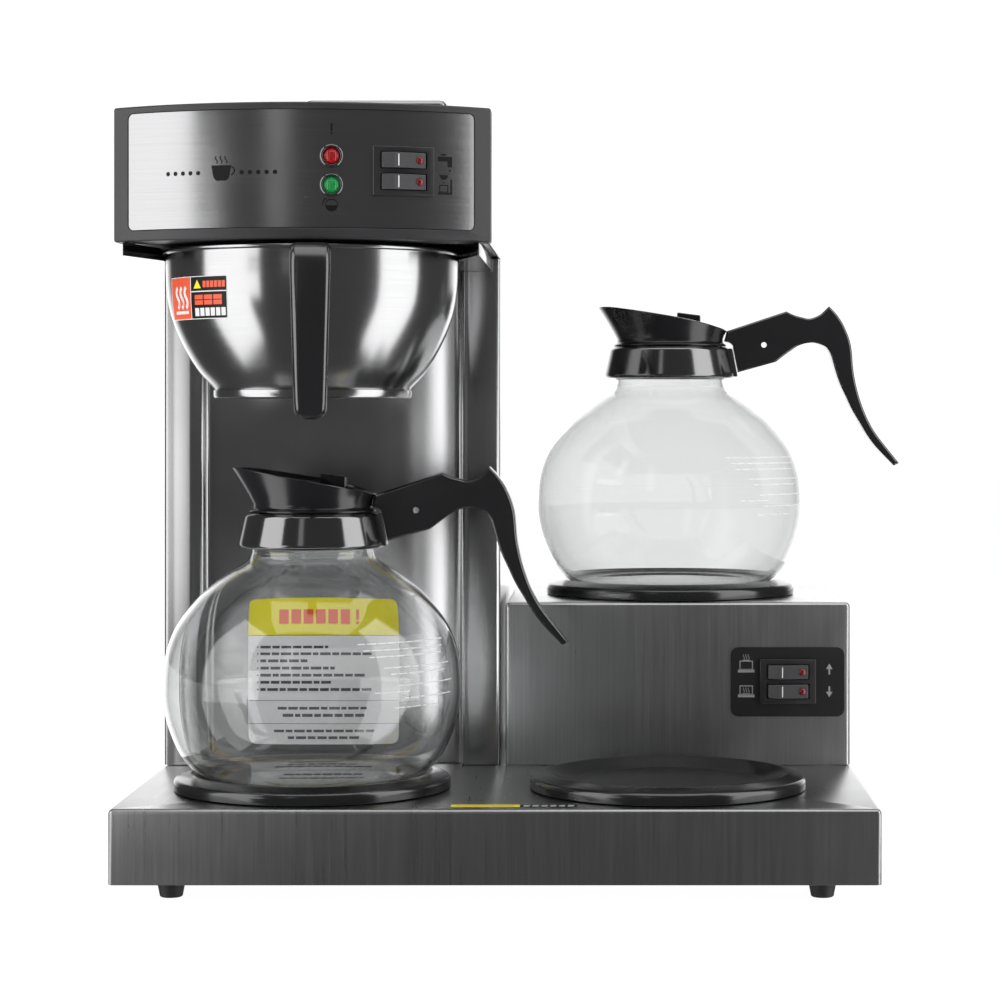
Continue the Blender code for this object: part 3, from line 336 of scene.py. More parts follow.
GLASS = clear_glass("decanter_glass")
RED = lens("red_lens", (0.26, 0.003, 0.004), 0.3)
NEON = lens("neon_lens", (0.16, 0.003, 0.004), 0.1)
GREEN = lens("green_lens", (0.003, 0.2, 0.04), 0.35)
BRASS = cast("brass", (0.62, 0.43, 0.17), 0.3, 1.0)
MICA = cast("heater_mica", (0.33, 0.28, 0.2), 0.7)
PAPER = printed("label_paper", (0.78, 0.78, 0.79))
YELLOW = printed("yellow_ink", (0.87, 0.78, 0.02))
ORANGE = printed("orange_ink", (0.82, 0.1, 0.03))
WHITE = printed("white_ink", (0.8, 0.8, 0.8))
INK = printed("notice_ink", (0.06, 0.06, 0.065))
LIGHT_GREY = printed("light_grey_ink", (0.3, 0.3, 0.3))
DARK = printed("dark_ink", (0.008, 0.008, 0.008), gloss=0.2)


# ---------------------------------------------------------------- mesh helpers


def piece(name, mesh, finish, body="cabinet", slot=None, replaces=()):
    """A finished object that rides on a body."""
    mesh.name = name
    mesh.materials.clear()
    mesh.materials.append(finish)
    mesh.shade_smooth()
    mesh.set_sharp_from_angle(angle=math.radians(35))
    made = bpy.data.objects.new(name, mesh)
    bpy.context.scene.collection.objects.link(made)
    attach(made, body)
    if replaces:
        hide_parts(*replaces)
    return made


def fine(node, mesh, finish, slot):
    """A finished object that stands in for a CAD node."""
    return piece(node + "_fine", mesh, finish, frame["nodes"][node]["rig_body"], slot, [node])


def to_mesh(bm, matrix=None):
    if matrix:
        bmesh.ops.transform(bm, matrix=matrix, verts=bm.verts)
    bmesh.ops.recalc_face_normals(bm, faces=bm.faces)
    mesh = bpy.data.meshes.new("piece")
    bm.to_mesh(mesh)
    bm.free()
    return mesh


def soften(made, width, segments=3):
    modifier = made.modifiers.new("edges", "BEVEL")
    modifier.width = width * MM
    modifier.segments = segments
    modifier.limit_method = "ANGLE"
    modifier.angle_limit = math.radians(30)
    modifier.harden_normals = True


def drilled(mesh, *cutters):
    """The mesh with a hole in the shape of each cutter."""
    objects = bpy.context.scene.collection.objects
    made = bpy.data.objects.new("drilled", mesh)
    objects.link(made)
    for cutter_mesh in cutters:
        cutter = bpy.data.objects.new("cutter", cutter_mesh)
        objects.link(cutter)
        modifier = made.modifiers.new("cut", "BOOLEAN")
        modifier.operation = "DIFFERENCE"
        modifier.object = cutter
        modifier.solver = "EXACT"
        bpy.context.view_layer.update()
        graph = bpy.context.evaluated_depsgraph_get()
        mesh = bpy.data.meshes.new_from_object(made.evaluated_get(graph))
        made.modifiers.remove(modifier)
        made.data = mesh
        bpy.data.objects.remove(cutter)
    bpy.data.objects.remove(made)
    return mesh


def refined(node, finish, slot, width, segments=2):
    """The CAD node with its edges rounded and its facets joined."""
    bm = bmesh.new()
    bm.from_mesh(frame["nodes"][node].data)
    bmesh.ops.remove_doubles(bm, verts=bm.verts, dist=3e-6)
    bmesh.ops.dissolve_limit(bm, angle_limit=math.radians(0.4), verts=bm.verts, edges=bm.edges)
    soften(fine(node, to_mesh(bm), finish, slot), width, segments)


def full_turn(steps):
    return [2 * math.pi * i / steps for i in range(steps)]


def ring_points(radius, height, steps):
    return [Vector((radius * math.cos(t), radius * math.sin(t), height)) for t in full_turn(steps)]


def loft(bm, loops, closed):
    """Faces between rings of points. A closed loft joins the last ring to the first, and an open
    one is capped at both ends."""
    rows = [[bm.verts.new(point) for point in loop] for loop in loops]
    pairs = list(zip(rows, rows[1:]))
    if closed:
        pairs.append((rows[-1], rows[0]))
    for low, high in pairs:
        for i in range(len(low)):
            j = (i + 1) % len(low)
            bm.faces.new((low[i], low[j], high[j], high[i]))
    if not closed:
        bm.faces.new(rows[0])
        bm.faces.new(rows[-1])


def lathe(profile, place=Vector(), closed=True, turn=Matrix.Identity(4), steps=AROUND):
    """A solid of revolution about Z from a (radius, height) outline in mm, turned and set at place.
    An open outline runs from one axis point to the other, and leaves those out."""
    bm = bmesh.new()
    loft(bm, [[p * MM for p in ring_points(r, z, steps)] for r, z in profile], closed)
    return to_mesh(bm, Matrix.Translation(place) @ turn)


def arc(x, y, radius, start, end, steps):
    turns = [math.radians(start + (end - start) * i / steps) for i in range(steps + 1)]
    return [(x + radius * math.cos(t), y + radius * math.sin(t)) for t in turns]


def rounded(points, radius=0.0, closed=True):
    """A polyline whose corners are rounded. A point with a third value has that radius instead."""
    count = len(points)
    result = []
    for i, (x, y, *own) in enumerate(points):
        here = Vector((x, y))
        before, after = Vector(points[i - 1][:2]), Vector(points[(i + 1) % count][:2])
        reach = own[0] if own else radius
        reach = min(reach, 0.48 * (before - here).length, 0.48 * (after - here).length)
        if reach <= 0 or not closed and i in (0, count - 1):
            result.append((x, y))
            continue
        one = here + (before - here).normalized() * reach
        two = here + (after - here).normalized() * reach
        for t in (0, 0.25, 0.5, 0.75, 1):
            result.append(tuple(one * (1 - t) ** 2 + here * 2 * t * (1 - t) + two * t * t))
    return result


def flowing(points, steps=5, closed=False):
    """A smooth curve through points. A point with a third value is a corner, where the curve
    breaks."""
    count = len(points)
    places = [Vector(p[:2]) for p in points]

    def slope(i, run):
        """The curve's slope at a point, kept from overshooting a short run."""
        if len(points[i]) > 2 or not closed and i in (0, count - 1):
            return run
        along = (places[(i + 1) % count] - places[i - 1]) / 2
        return along * min(1.0, run.length / max(along.length, 1e-9) * 1.2)

    result = []
    for i in range(count if closed else count - 1):
        j = (i + 1) % count
        run = places[j] - places[i]
        leave, reach = slope(i, run), slope(j, run)
        for k in range(steps):
            t = k / steps
            a, b = 2 * t**3 - 3 * t**2 + 1, t**3 - 2 * t**2 + t
            c, d = -2 * t**3 + 3 * t**2, t**3 - t**2
            result.append(tuple(places[i] * a + leave * b + places[j] * c + reach * d))
    return result if closed else [*result, tuple(places[-1])]


def read_off(line, at, key):
    """The other coordinate of a line of points where its coordinate number key is at."""
    i = max([k for k, point in enumerate(line) if point[key] <= at] or [0])
    one, two = line[i], line[min(i + 1, len(line) - 1)]
    share = (at - one[key]) / max(two[key] - one[key], 1e-6)
    return one[1 - key] + (two[1 - key] - one[1 - key]) * share


def beside(points, amount):
    """A line of points moved to its left."""
    result = []
    for i, point in enumerate(points):
        before, after = points[max(i - 1, 0)], points[min(i + 1, len(points) - 1)]
        run = (Vector(after) - Vector(before)).normalized()
        result.append((point[0] - run.y * amount, point[1] + run.x * amount))
    return result


def inset(outline, amount):
    """The outline moved inwards all round."""
    points = [Vector(p) for p in outline]
    area = sum(a.x * b.y - a.y * b.x for a, b in zip(points, points[1:] + points[:1]))
    side = 1 if area > 0 else -1
    result = []
    for before, here, after in zip(points[-1:] + points[:-1], points, points[1:] + points[:1]):
        one, two = (here - before).normalized(), (after - here).normalized()
        normal = Vector((-(one.y + two.y), one.x + two.x))
        if normal.length < 1e-6:
            normal = Vector((-one.y, one.x))
        normal.normalize()
        miter = max(0.45, normal.dot(Vector((-one.y, one.x))))
        result.append(tuple(here + normal * side * amount / miter))
    return result


def slab(outline, depth, matrix, edge):
    """An outline in mm, given thickness along its local Z and centred on its plane. edge is the
    radius of its rims."""
    steps = 5 if edge else 0
    rims = []
    for i in range(steps + 1):
        turn = math.pi / 2 * i / max(steps, 1)
        rims.append((edge * (1 - math.sin(turn)), depth / 2 - edge * (1 - math.cos(turn))))
    bm = bmesh.new()
    rings = []
    for shrink, z in [(a, -b) for a, b in rims] + rims[::-1]:
        ring = inset(outline, shrink) if shrink > 1e-6 else outline
        rings.append([Vector((x, y, z)) * MM for x, y in ring])
    loft(bm, rings, False)
    return to_mesh(bm, matrix)


def block(low, high, matrix=Matrix.Identity(4)):
    bm = bmesh.new()
    bmesh.ops.create_cube(bm, size=1)
    return to_mesh(bm, matrix @ Matrix.LocRotScale((low + high) / 2, None, high - low))


def wire(points, radius, closed=False):
    """A round wire along points in metres."""
    bm = bmesh.new()
    count = len(points)
    loops = []
    side = None
    for i, point in enumerate(points):
        after = points[(i + 1) % count] if closed else points[min(i + 1, count - 1)]
        before = points[i - 1] if closed else points[max(i - 1, 0)]
        run = (Vector(after) - Vector(before)).normalized()
        if side is None:
            side = run.orthogonal().normalized()
        side = (side - run * side.dot(run)).normalized()
        other = run.cross(side)
        spokes = [side * math.cos(t) + other * math.sin(t) for t in full_turn(12)]
        loops.append([Vector(point) + spoke * radius for spoke in spokes])
    loft(bm, loops, closed)
    return to_mesh(bm)


def joined(*meshes):
    """One mesh made of several."""
    bm = bmesh.new()
    for mesh in meshes:
        bm.from_mesh(mesh)
    for mesh in meshes:
        bpy.data.meshes.remove(mesh)
    made = bpy.data.meshes.new("piece")
    bm.to_mesh(made)
    bm.free()
    return made


# ---------------------------------------------------------------- printing


def rect(x0, y0, x1, y1, radius=0.0):
    corners = [(x0, y0), (x1, y0), (x1, y1), (x0, y1)]
    return rounded(corners, radius) if radius else corners


def disc(x, y, radius):
    return arc(x, y, radius, 0, 345, 23)


def blocks(count, x0, y0, x1, y1, right=0.0, up=0.0, radius=0.0):
    """Equal rectangles, each set further right and up than the last."""
    steps = [(right * i, up * i) for i in range(count)]
    return [rect(x0 + u, y0 + v, x1 + u, y1 + v, radius) for u, v in steps]


def stroke(points, width):
    """The outline of a line of even width."""
    return beside(points, width / 2) + beside(points, -width / 2)[::-1]


def steam(x, y0, y1, width, sway):
    """A wavy upright stroke."""
    steps = 14
    rise = (y1 - y0) / steps
    points = [(x + sway * math.sin(2 * math.pi * i / steps), y0 + rise * i) for i in range(steps + 1)]
    return stroke(points, width)


def frame_strokes(x0, y0, x1, y1, width):
    """Four strokes round a rectangle."""
    half = width / 2
    return [
        rect(x0 - half, y0 - half, x1 + half, y0 + half),
        rect(x0 - half, y1 - half, x1 + half, y1 + half),
        rect(x0 - half, y0 + half, x0 + half, y1 - half),
        rect(x1 - half, y0 + half, x1 + half, y1 - half),
    ]


def print_on(name, shapes, surface, finish, lift, body="cabinet", slice_every=None, thick=0.04):
    """Thin printed shapes in mm on a surface, a function of (u, v, lift) that gives a point. Shapes
    on a curved surface are sliced along u so that they follow it."""
    bm = bmesh.new()
    for shape in shapes:
        bm.faces.new([bm.verts.new((u, v, 0)) for u, v in shape])
    if slice_every:
        reach = [v.co.x for v in bm.verts]
        at = math.floor(min(reach) / slice_every) * slice_every
        while at < max(reach):
            geometry = bm.verts[:] + bm.edges[:] + bm.faces[:]
            bmesh.ops.bisect_plane(bm, geom=geometry, plane_co=(at, 0, 0), plane_no=(1, 0, 0))
            at += slice_every
    bmesh.ops.triangulate(bm, faces=[f for f in bm.faces if len(f.verts) > 4])
    made = bmesh.ops.extrude_face_region(bm, geom=bm.faces[:])["geom"]
    top = {v for v in made if isinstance(v, bmesh.types.BMVert)}
    for vertex in bm.verts:
        height = lift + (thick if vertex in top else 0.0)
        vertex.co = surface(vertex.co.x, vertex.co.y, height)
    piece(name, to_mesh(bm), finish, body)


def flat_surface(x, y, z):
    """A wall that looks along -Y, with its zero at (x, y, z)."""
    return lambda u, v, lift: Vector((x + u * MM, y - lift * MM, z + v * MM))


def bowed(turn, radius, z):
    """A point on the bow of the control plate, turned from its middle."""
    return Vector((FUNNEL_X + radius * math.sin(turn), BOW_Y - radius * math.cos(turn), z))


def plate_surface(u, v, lift):
    """The bowed control plate: u along its arc from the middle, v up from its lower edge."""
    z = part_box("control_plate")[0].z + v * MM
    return bowed(u * MM / PLATE_RADIUS, PLATE_RADIUS + lift * MM, z)


# ---------------------------------------------------------------- casings


def make_casings():
    refined("base_shell", BASE, "stainless", 0.35)
    refined("base_pan", CASING, "stainless", 0.2)
    refined("column_shell", COLUMN, "stainless", 0.3)
    refined("column_rear_cover", CASING, "stainless", 0.3)
    refined("warmer_box_shell", BOX, "stainless", 0.3)
    refined("warmer_box_rear_cover", CASING, "stainless", 0.3)
    refined("head_hood", HOOD, "stainless", 0.3)
    refined("head_floor", CASING, "stainless", 0.2)
    refined("head_bezel", SATIN, "satin_black_plastic", 0.5, 3)
    refined("funnel_guide", GLOSS, "black_plastic", 1.2, 4)
    refined("fill_basin", CASING, "stainless", 0.2)
    refined("fill_lid", PANEL, "polished_stainless", 0.3)
    refined("lid_hinge_bracket", CASING, "stainless", 0.2)
    refined("warmer_label_plate", FILM, "black_plastic", 0.12)


def make_feet():
    profile = [(0.6, 1.2), (2.6, 1.2), (2.8, 0.0), (5.3, 0.0), (6.0, 0.5), (7.5, 8.2), (8.3, 8.7)]
    profile += [(8.4, 9.2), (8.4, 10.5), (8.2, 10.7), (0.6, 10.7)]
    for node in ("front_left_foot", "front_right_foot", "rear_left_foot", "rear_right_foot"):
        place = middle(node)
        place.z = 0
        fine(node, lathe(profile, place, closed=False, steps=64), RUBBER, "foot_rubber")


def make_warmer_plates():
    """Dished enamel plates, their seats turned with fine rings."""
    ripples = [(0.5 + 2.6 * i, 4.4 + (0.0 if i % 2 else -0.12)) for i in range(20)]
    outer = [(52.0, 4.4, 2.0), (64.4, 9.2, 1.0), (66.0, 9.3, 1.0), (74.2, 6.7, 1.2)]
    outer += [(75.3, 5.0, 1.0), (75.3, 0.8, 0.3), (75.0, 0.5, 0.2), (73.7, 0.5, 0.3)]
    under = [(73.7, 4.8, 0.5), (65.0, 7.6, 1.0), (53.1, 2.8, 1.0), (0.5, 2.8)]
    profile = ripples[:-1] + rounded([ripples[-1], *outer, *under], 0.5, closed=False)
    for name in ("left_warmer", "right_warmer", "rear_warmer"):
        place = middle(name + "_plate")
        place.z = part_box(name + "_plate")[0].z - WARMER_RISE
        fine(name + "_plate", lathe(profile, place), ENAMEL, "black_enamel")


def screw(place, turn, radius):
    """A pan-head screw with a cross recess, its face towards local +Z."""
    head = [(0, 0), (1, 0), (1, 0.35), (0.86, 0.55), (0.5, 0.7), (0, 0.74)]
    head = [(max(0.05, x * radius), z * radius) for x, z in head]
    r = radius * MM
    slots = [Vector((0.55, 0.12, 0.4)) * r, Vector((0.12, 0.55, 0.4)) * r]
    cutters = [block(Vector((-half.x, -half.y, half.z)), Vector((half.x, half.y, r))) for half in slots]
    mesh = drilled(lathe(head, closed=False, steps=32), *cutters)
    mesh.transform(Matrix.Translation(place) @ turn)
    return mesh


def make_cover_screws():
    """Screws round the rear covers, and in the base's pan under the machine."""
    meshes = []
    covers = {"column_rear_cover": (0.06, 0.5, 0.94), "warmer_box_rear_cover": (0.14, 0.86)}
    for node, rows in covers.items():
        low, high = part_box(node)
        for x in (low.x + 7 * MM, high.x - 7 * MM):
            places = [Vector((x, high.y, low.z + (high.z - low.z) * row)) for row in rows]
            meshes += [screw(place, REARWARDS, 2.6) for place in places]
    low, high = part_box("base_pan")
    down = Matrix.Rotation(math.radians(180), 4, "X")
    for x in (low.x + 60 * MM, high.x - 60 * MM):
        for y in (low.y + 12 * MM, high.y - 12 * MM):
            meshes.append(screw(Vector((x, y, low.z)), down, 1.3))
    piece("cover_screws", joined(*meshes), BRIGHT, "cabinet", "polished_stainless")


def make_services():
    """The cable gland and the water inlet, each with a hexagonal nut against the rear cover."""
    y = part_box("column_rear_cover")[1].y
    kinds = (
        ("cable_gland", GLOSS, "black_plastic", 18.5, 7.6,
         [(4.4, 11.8), (6.6, 12), (7.6, 11), (8.8, 7.6), (8.8, -0.5), (7.4, -1), (7.4, -9), (4.4, -9)]),
        ("water_inlet", BRASS, "brass", 17.0, 5.0,
         [(4, 14.6), (5.4, 15), (5.6, 13.8), (5.0, 13), (6, 12), (6, 3), (6.8, -1), (6.8, -4), (4, -4)]),
    )
    for node, finish, slot, across, high, profile in kinds:
        place = middle(node)
        place.y = y
        core = lathe(rounded(profile, 0.4), place, turn=REARWARDS, steps=48)
        reach, low = across / math.sqrt(3), 0.4
        nut = lathe([(reach, low), (reach, high)], place, False, REARWARDS, 6)
        bore = [(0.05, low - 1), (7.0, low - 1), (7.0, high + 1), (0.05, high + 1)]
        nut = drilled(nut, lathe(bore, place, False, REARWARDS, 48))
        soften(fine(node, joined(core, nut), finish, slot), 0.25, 2)


def dress_inner_nodes():
    """Better materials for the CAD pieces that stay inside the casings."""
    kinds = {
        CASING: ("water_tank", "tank_lid"),
        BRIGHT: ("spray_head", "spray_tube", "fill_tube", "lid_hinge_pin", "tank_heater",
                 "funnel_handle_screw", "left_decanter_neck_band", "rear_decanter_neck_band"),
        BRASS: ("tank_thermostat",),
        SATIN: ("inlet_valve",),
        MICA: ("left_warmer_element", "right_warmer_element", "rear_warmer_element"),
    }
    for finish, nodes in kinds.items():
        for node in nodes:
            mesh = frame["nodes"][node].data
            mesh.materials.clear()
            mesh.materials.append(finish)


# ---------------------------------------------------------------- control panel


def make_control_plate():
    """The bowed plate, with the holes for its lamps and switch, its corners rounded."""
    low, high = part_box("control_plate")
    half_turn = math.asin((high.x - low.x) / 2 / PLATE_RADIUS)
    columns, corner, back = 72, 3.0 * MM, PLATE_RADIUS - 1 * MM
    turns = [-half_turn + 2 * half_turn * i / columns for i in range(columns + 1)]
    ends = [half_turn - corner / PLATE_RADIUS * (1 - math.cos(math.radians(15 * i))) for i in range(6)]
    rows = []
    for turn in sorted({*turns, *ends, *[-turn for turn in ends]}):
        margin = min((half_turn - abs(turn)) * PLATE_RADIUS, corner)
        sunk = corner - math.sqrt(max(0.0, corner**2 - (corner - margin) ** 2))
        top, bottom = high.z - sunk, low.z + sunk
        ring = ((PLATE_RADIUS, top), (PLATE_RADIUS, bottom), (back, bottom), (back, top))
        rows.append([bowed(turn, radius, z) for radius, z in ring])
    bm = bmesh.new()
    loft(bm, rows, False)

    def stand(turn, node):
        place = bowed(turn, PLATE_RADIUS, middle(node).z)
        return Matrix.Translation(place) @ Matrix.Rotation(turn, 4, "Z")

    bore = [(0.05, -8), (5.3, -8), (5.3, 8), (0.05, 8)]
    cutters = [
        lathe(bore, closed=False, turn=stand(LAMP_TURN, node) @ LYING, steps=48)
        for node in ("red_lamp_lens", "green_lamp_lens")
    ]
    window = Vector((15.1, 9.0, 11.7)) * MM
    cutters.append(block(-window, window, stand(SWITCH_TURN, "head_switch_housing")))
    soften(fine("control_plate", drilled(to_mesh(bm), *cutters), PANEL, "polished_stainless"), 0.3)


def make_panel_print():
    """Plain signs on the control plate, by its lamps and its switches."""
    # A warning mark over the red lamp, a drop and a jug under the green one
    shapes = [stroke([(18.4, 53.8), (18.45, 49.8)], 0.95), disc(18.45, 48.6, 0.5)]
    shapes += [arc(18.4, 11.4, 3.2, 180, 360, 16), stroke(arc(18.4, 11.4, 3.2, 0, 60, 8), 0.45)]
    shapes.append(stroke(arc(18.4, 11.4, 3.2, 120, 180, 8), 0.45))
    shapes += [stroke([(16.8, 14.4), (20.0, 14.4)], 0.5), stroke([(14.8, 14.6), (13.6, 11.6)], 0.5)]
    shapes += [stroke([(16.0, 14.8), (14.6, 14.8)], 0.45), disc(18.4, 17.0, 0.5)]
    # Tap beside the upper rocker, jug under a funnel beside the lower one
    shapes += [rect(74.6, 35.6, 81.0, 38.0), rect(80.0, 32.6, 82.6, 38.0), rect(76.2, 38.6, 79.4, 39.4)]
    shapes += [disc(81.3, 30.8, 0.55)]
    shapes += [[(75.2, 28.4), (80.6, 28.4), (79.2, 26.0), (76.6, 26.0)], disc(77.9, 24.6, 0.45)]
    shapes += frame_strokes(75.6, 19.6, 80.2, 23.0, 0.5)
    shapes += [rect(74.6, 18.2, 82.6, 19.2), rect(81.6, 19.2, 82.6, 26.2)]
    # A cup between two rows of dots stands where a maker would put a name
    cup = [(-45.0, 32.4), (-34.0, 32.4), (-35.2, 26.0), (-36.8, 24.4), (-42.2, 24.4), (-43.8, 26.0)]
    shapes += [rounded(cup, 0.8), stroke(arc(-34.4, 29.6, 2.1, -80, 80, 8), 0.7)]
    shapes += [steam(-42.2 + 2.6 * i, 33.4, 37.2, 0.55, 0.6) for i in range(3)]
    shapes += [disc(-70.0 + 4.4 * i, 28.6, 1.15) for i in range(5)]
    shapes += [disc(-28.4 + 4.4 * i, 28.6, 1.15) for i in range(5)]
    print_on("panel_signs", shapes, plate_surface, DARK, 0.02, slice_every=2.0)


def make_lamps():
    """Ringed pilot lamps. Each lens is a dome of small facets."""
    ring = [(4.45, 0.9, 0.2), (4.7, 1.35, 0.2), (5.5, 1.35, 0.4), (6.1, 0.6, 0.3), (6.1, 0.02, 0.1)]
    ring += [(4.9, 0.02, 0.1), (4.9, -9.0, 0.1), (4.45, -9.0, 0.1)]
    stand = Matrix.Rotation(LAMP_TURN, 4, "Z") @ LYING
    for name, finish, slot in (("red_lamp", RED, "red_lens"), ("green_lamp", GREEN, "green_lens")):
        place = bowed(LAMP_TURN, PLATE_RADIUS + 0.3 * MM, middle(name + "_lens").z)
        mesh = lathe(rounded(ring), place, turn=stand, steps=64)
        fine(name + "_ring", mesh, GLOSS, "black_plastic")
        fine(name + "_lens", lens_mesh(Matrix.Translation(place) @ stand), finish, slot)


def lens_mesh(matrix):
    """A disc that bulges forwards in small square facets, with a wall behind its rim."""
    bm = bmesh.new()
    cells, reach, pitch = 44, 4.15, 0.92
    grid = bmesh.ops.create_grid(bm, x_segments=cells, y_segments=cells, size=1)["verts"]
    for vertex in grid:
        u, v = vertex.co.x, vertex.co.y
        # The square grid is rounded to a disc
        u, v = u * math.sqrt(1 - v * v / 2) * reach, v * math.sqrt(1 - u * u / 2) * reach
        across = abs(((u / pitch) % 1.0) - 0.5) + abs(((v / pitch) % 1.0) - 0.5)
        dome = 1.9 * (1 - (u * u + v * v) / reach**2)
        vertex.co = Vector((u, v, dome + 0.22 * across)) * MM
    rim = [e for e in bm.edges if len(e.link_faces) == 1]
    walls = bmesh.ops.extrude_edge_only(bm, edges=rim)["geom"]
    for vertex in (v for v in walls if isinstance(v, bmesh.types.BMVert)):
        vertex.co.z = -8 * MM
    bmesh.ops.holes_fill(bm, edges=[e for e in bm.edges if len(e.link_faces) == 1])
    return to_mesh(bm, matrix)


def make_switches():
    """Twin rocker switches. Each rocker has a light bar and a red neon dome, printed and set on it."""
    groups = (
        ("head_switch_housing", ("water_rocker", "brew_rocker"), SWITCH_TURN),
        ("warmer_switch_housing", ("rear_rocker", "front_rocker"), 0.0),
    )
    for housing, rockers, turn in groups:
        refined(housing, SWITCH, "black_plastic", 0.25, 3)
        for rocker in rockers:
            refined(rocker, ROCKER, "black_plastic", 0.35, 3)
            add_rocker_marks(rocker, turn)


def add_rocker_marks(rocker, turn):
    """The neon dome at the right end and the bar by the crease, on the rocker's sloping face."""
    joint = next(j for j in frame["joints"] if j["child"] == rocker)
    stand = Matrix.Translation(joint["pos_m"]) @ Matrix.Rotation(turn, 4, "Z")
    crease, right = Vector((-6.0, -6.6)), Vector((11.57, -3.54))
    run = (right - crease).normalized()

    def on_face(along, lift):
        """A place on the face, with local Z out of it."""
        flat = (crease + run * along + Vector((run.y, -run.x)) * lift) * MM
        tilt = Matrix.Rotation(math.atan2(run.y, run.x), 4, "Z") @ LYING
        return stand @ Matrix.Translation((flat.x, flat.y, 0)) @ tilt

    dome = [(0.05, -0.6), (2.15, -0.6), (2.05, 0.3), (1.6, 0.85), (0.9, 1.2), (0.05, 1.35)]
    neon = lathe(dome, closed=False, turn=on_face(14.6, 0.0), steps=40)
    piece(rocker + "_neon", neon, NEON, rocker, "red_lens")
    bar = slab(rect(-0.3, -3.1, 0.3, 3.1, 0.2), 0.2, on_face(2.6, 0.1), 0.0)
    piece(rocker + "_bar", bar, WHITE, rocker)


def make_warmer_print():
    """Signs on the black plate: a warmer with steam over it or in it, and an arrow for each."""
    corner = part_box("warmer_label_plate")[0]
    surface = flat_surface(corner.x, LABEL_FRONT, corner.z)
    shapes = []
    for base, inside in ((26.0, False), (11.6, True)):
        shapes += frame_strokes(5.4, base + 1.4, 12.6, base + 6.2, 0.55)
        shapes.append(rect(4.2, base - 0.4, 13.8, base + 1.4, 0.3))
        bottom = base + (2.4 if inside else 7.4)
        shapes += [steam(7.6 + 1.4 * i, bottom, bottom + 2.8, 0.3, 0.35) for i in range(3)]
        shapes.append(rect(7.0, bottom - 0.9, 11.0, bottom - 0.4))
    for base, up in ((28.2, True), (13.8, False)):
        tip, foot = (base + 2.6, base - 0.6) if up else (base - 2.6, base + 0.6)
        shapes.append([(55.4, foot), (59.2, foot), (57.3, tip)])
        shaft = sorted((foot, foot * 2 - tip))
        shapes.append(rect(56.8, shaft[0], 57.8, shaft[1]))
    print_on("warmer_signs", shapes, surface, LIGHT_GREY, 0.02)


# ---------------------------------------------------------------- stickers


def text_bars(x0, x1, y, widths, height=1.7, bullet=False, centred=False):
    """Rows of plain dashes of uneven length that stand for lines of text."""
    shapes = []
    for i, share in enumerate(widths):
        row, length = y - 4.3 * i, (x1 - x0) * share
        x = start = x0 + ((x1 - x0) - length) / 2 * centred
        k = 0
        while x < start + length - 1.5:
            word = min(3.0 + 3.4 * abs(math.sin(2.3 * i + 1.7 * k + y)), start + length - x)
            shapes.append(rect(x, row, x + word, row + height))
            x += word + 1.0
            k += 1
        if bullet:
            shapes.append(disc(start - 1.6, row + height / 2, 0.5))
    return shapes


def make_column_label():
    """The notice on the column: a yellow head over a pale field, with orange blocks and a mark on
    its head and dashes for its text."""
    wide, high, corner = 91.2, 90.8, 5.4
    surface = flat_surface(-170.0 * MM, PANEL_Y, 58.9 * MM)
    head = high * 0.738
    field = [(0, 0, corner), (wide, 0, corner), (wide, head - 0.3, 0), (0, head - 0.3, 0)]
    print_on("notice_field", [rounded(field)], surface, PAPER, 0.0, thick=0.08)
    top = [(0, head, 0), (wide, head, 0), (wide, high, corner), (0, high, corner)]
    print_on("notice_head", [rounded(top)], surface, YELLOW, 0.0, thick=0.08)
    print_on("notice_edge", [rect(0, head - 0.35, wide, head)], surface, DARK, 0.05, thick=0.05)
    signs = blocks(6, 18.6, head + 6.2, 24.4, head + 14.8, 7.4, radius=0.5)
    signs += [rect(65.0, head + 8.8, 66.8, head + 14.8, 0.4), disc(65.9, head + 7.2, 1.0)]
    print_on("notice_signs", signs, surface, ORANGE, 0.09)
    bars = text_bars(7.4, wide - 5.5, 58.4, (0.52, 0.88, 0.36, 0.57, 0.83, 0.54, 0.85), bullet=True)
    bars += text_bars(8.0, wide - 8.0, 21.2, (0.74, 0.66), centred=True)
    bars += text_bars(8.0, wide - 8.0, 7.4, (0.8, 0.58), centred=True)
    bars += [rect(0.4, 26.7, wide - 0.4, 27.0), rect(0.4, 12.7, wide - 0.4, 13.0)]
    print_on("notice_bars", bars, surface, INK, 0.09)


def make_deck_sticker():
    """A narrow strip on the front edge of the deck."""
    x, y = -40.0 * MM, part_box("base_shell")[0].y + 8 * MM

    def surface(u, v, lift):
        return Vector((x + u * MM, y + v * MM, DECK_Z + lift * MM))

    print_on("deck_strip_yellow", [rect(0, 0, 36, 9)], surface, YELLOW, 0.01)
    print_on("deck_strip_dark", [rect(36.2, 0, 66, 9)], surface, DARK, 0.01)
    bars = blocks(6, 38, 2.0, 41, 3.4, 4.6) + blocks(6, 38, 5.4, 41.4, 6.8, 4.6)
    print_on("deck_strip_bars", bars, surface, WHITE, 0.06)
    print_on("deck_strip_marks", [rect(3, 3.4, 33, 5.0)], surface, ORANGE, 0.06)


# ---------------------------------------------------------------- funnel


FUNNEL_WALL = [(53.6, 267.6), (61.5, 276.5), (68.6, 288), (74.1, 300), (77.4, 311), (79, 323)]
FUNNEL_WALL = flowing([*FUNNEL_WALL, (79.4, 333)], 6)  # outside of the bowl over its foot, in mm


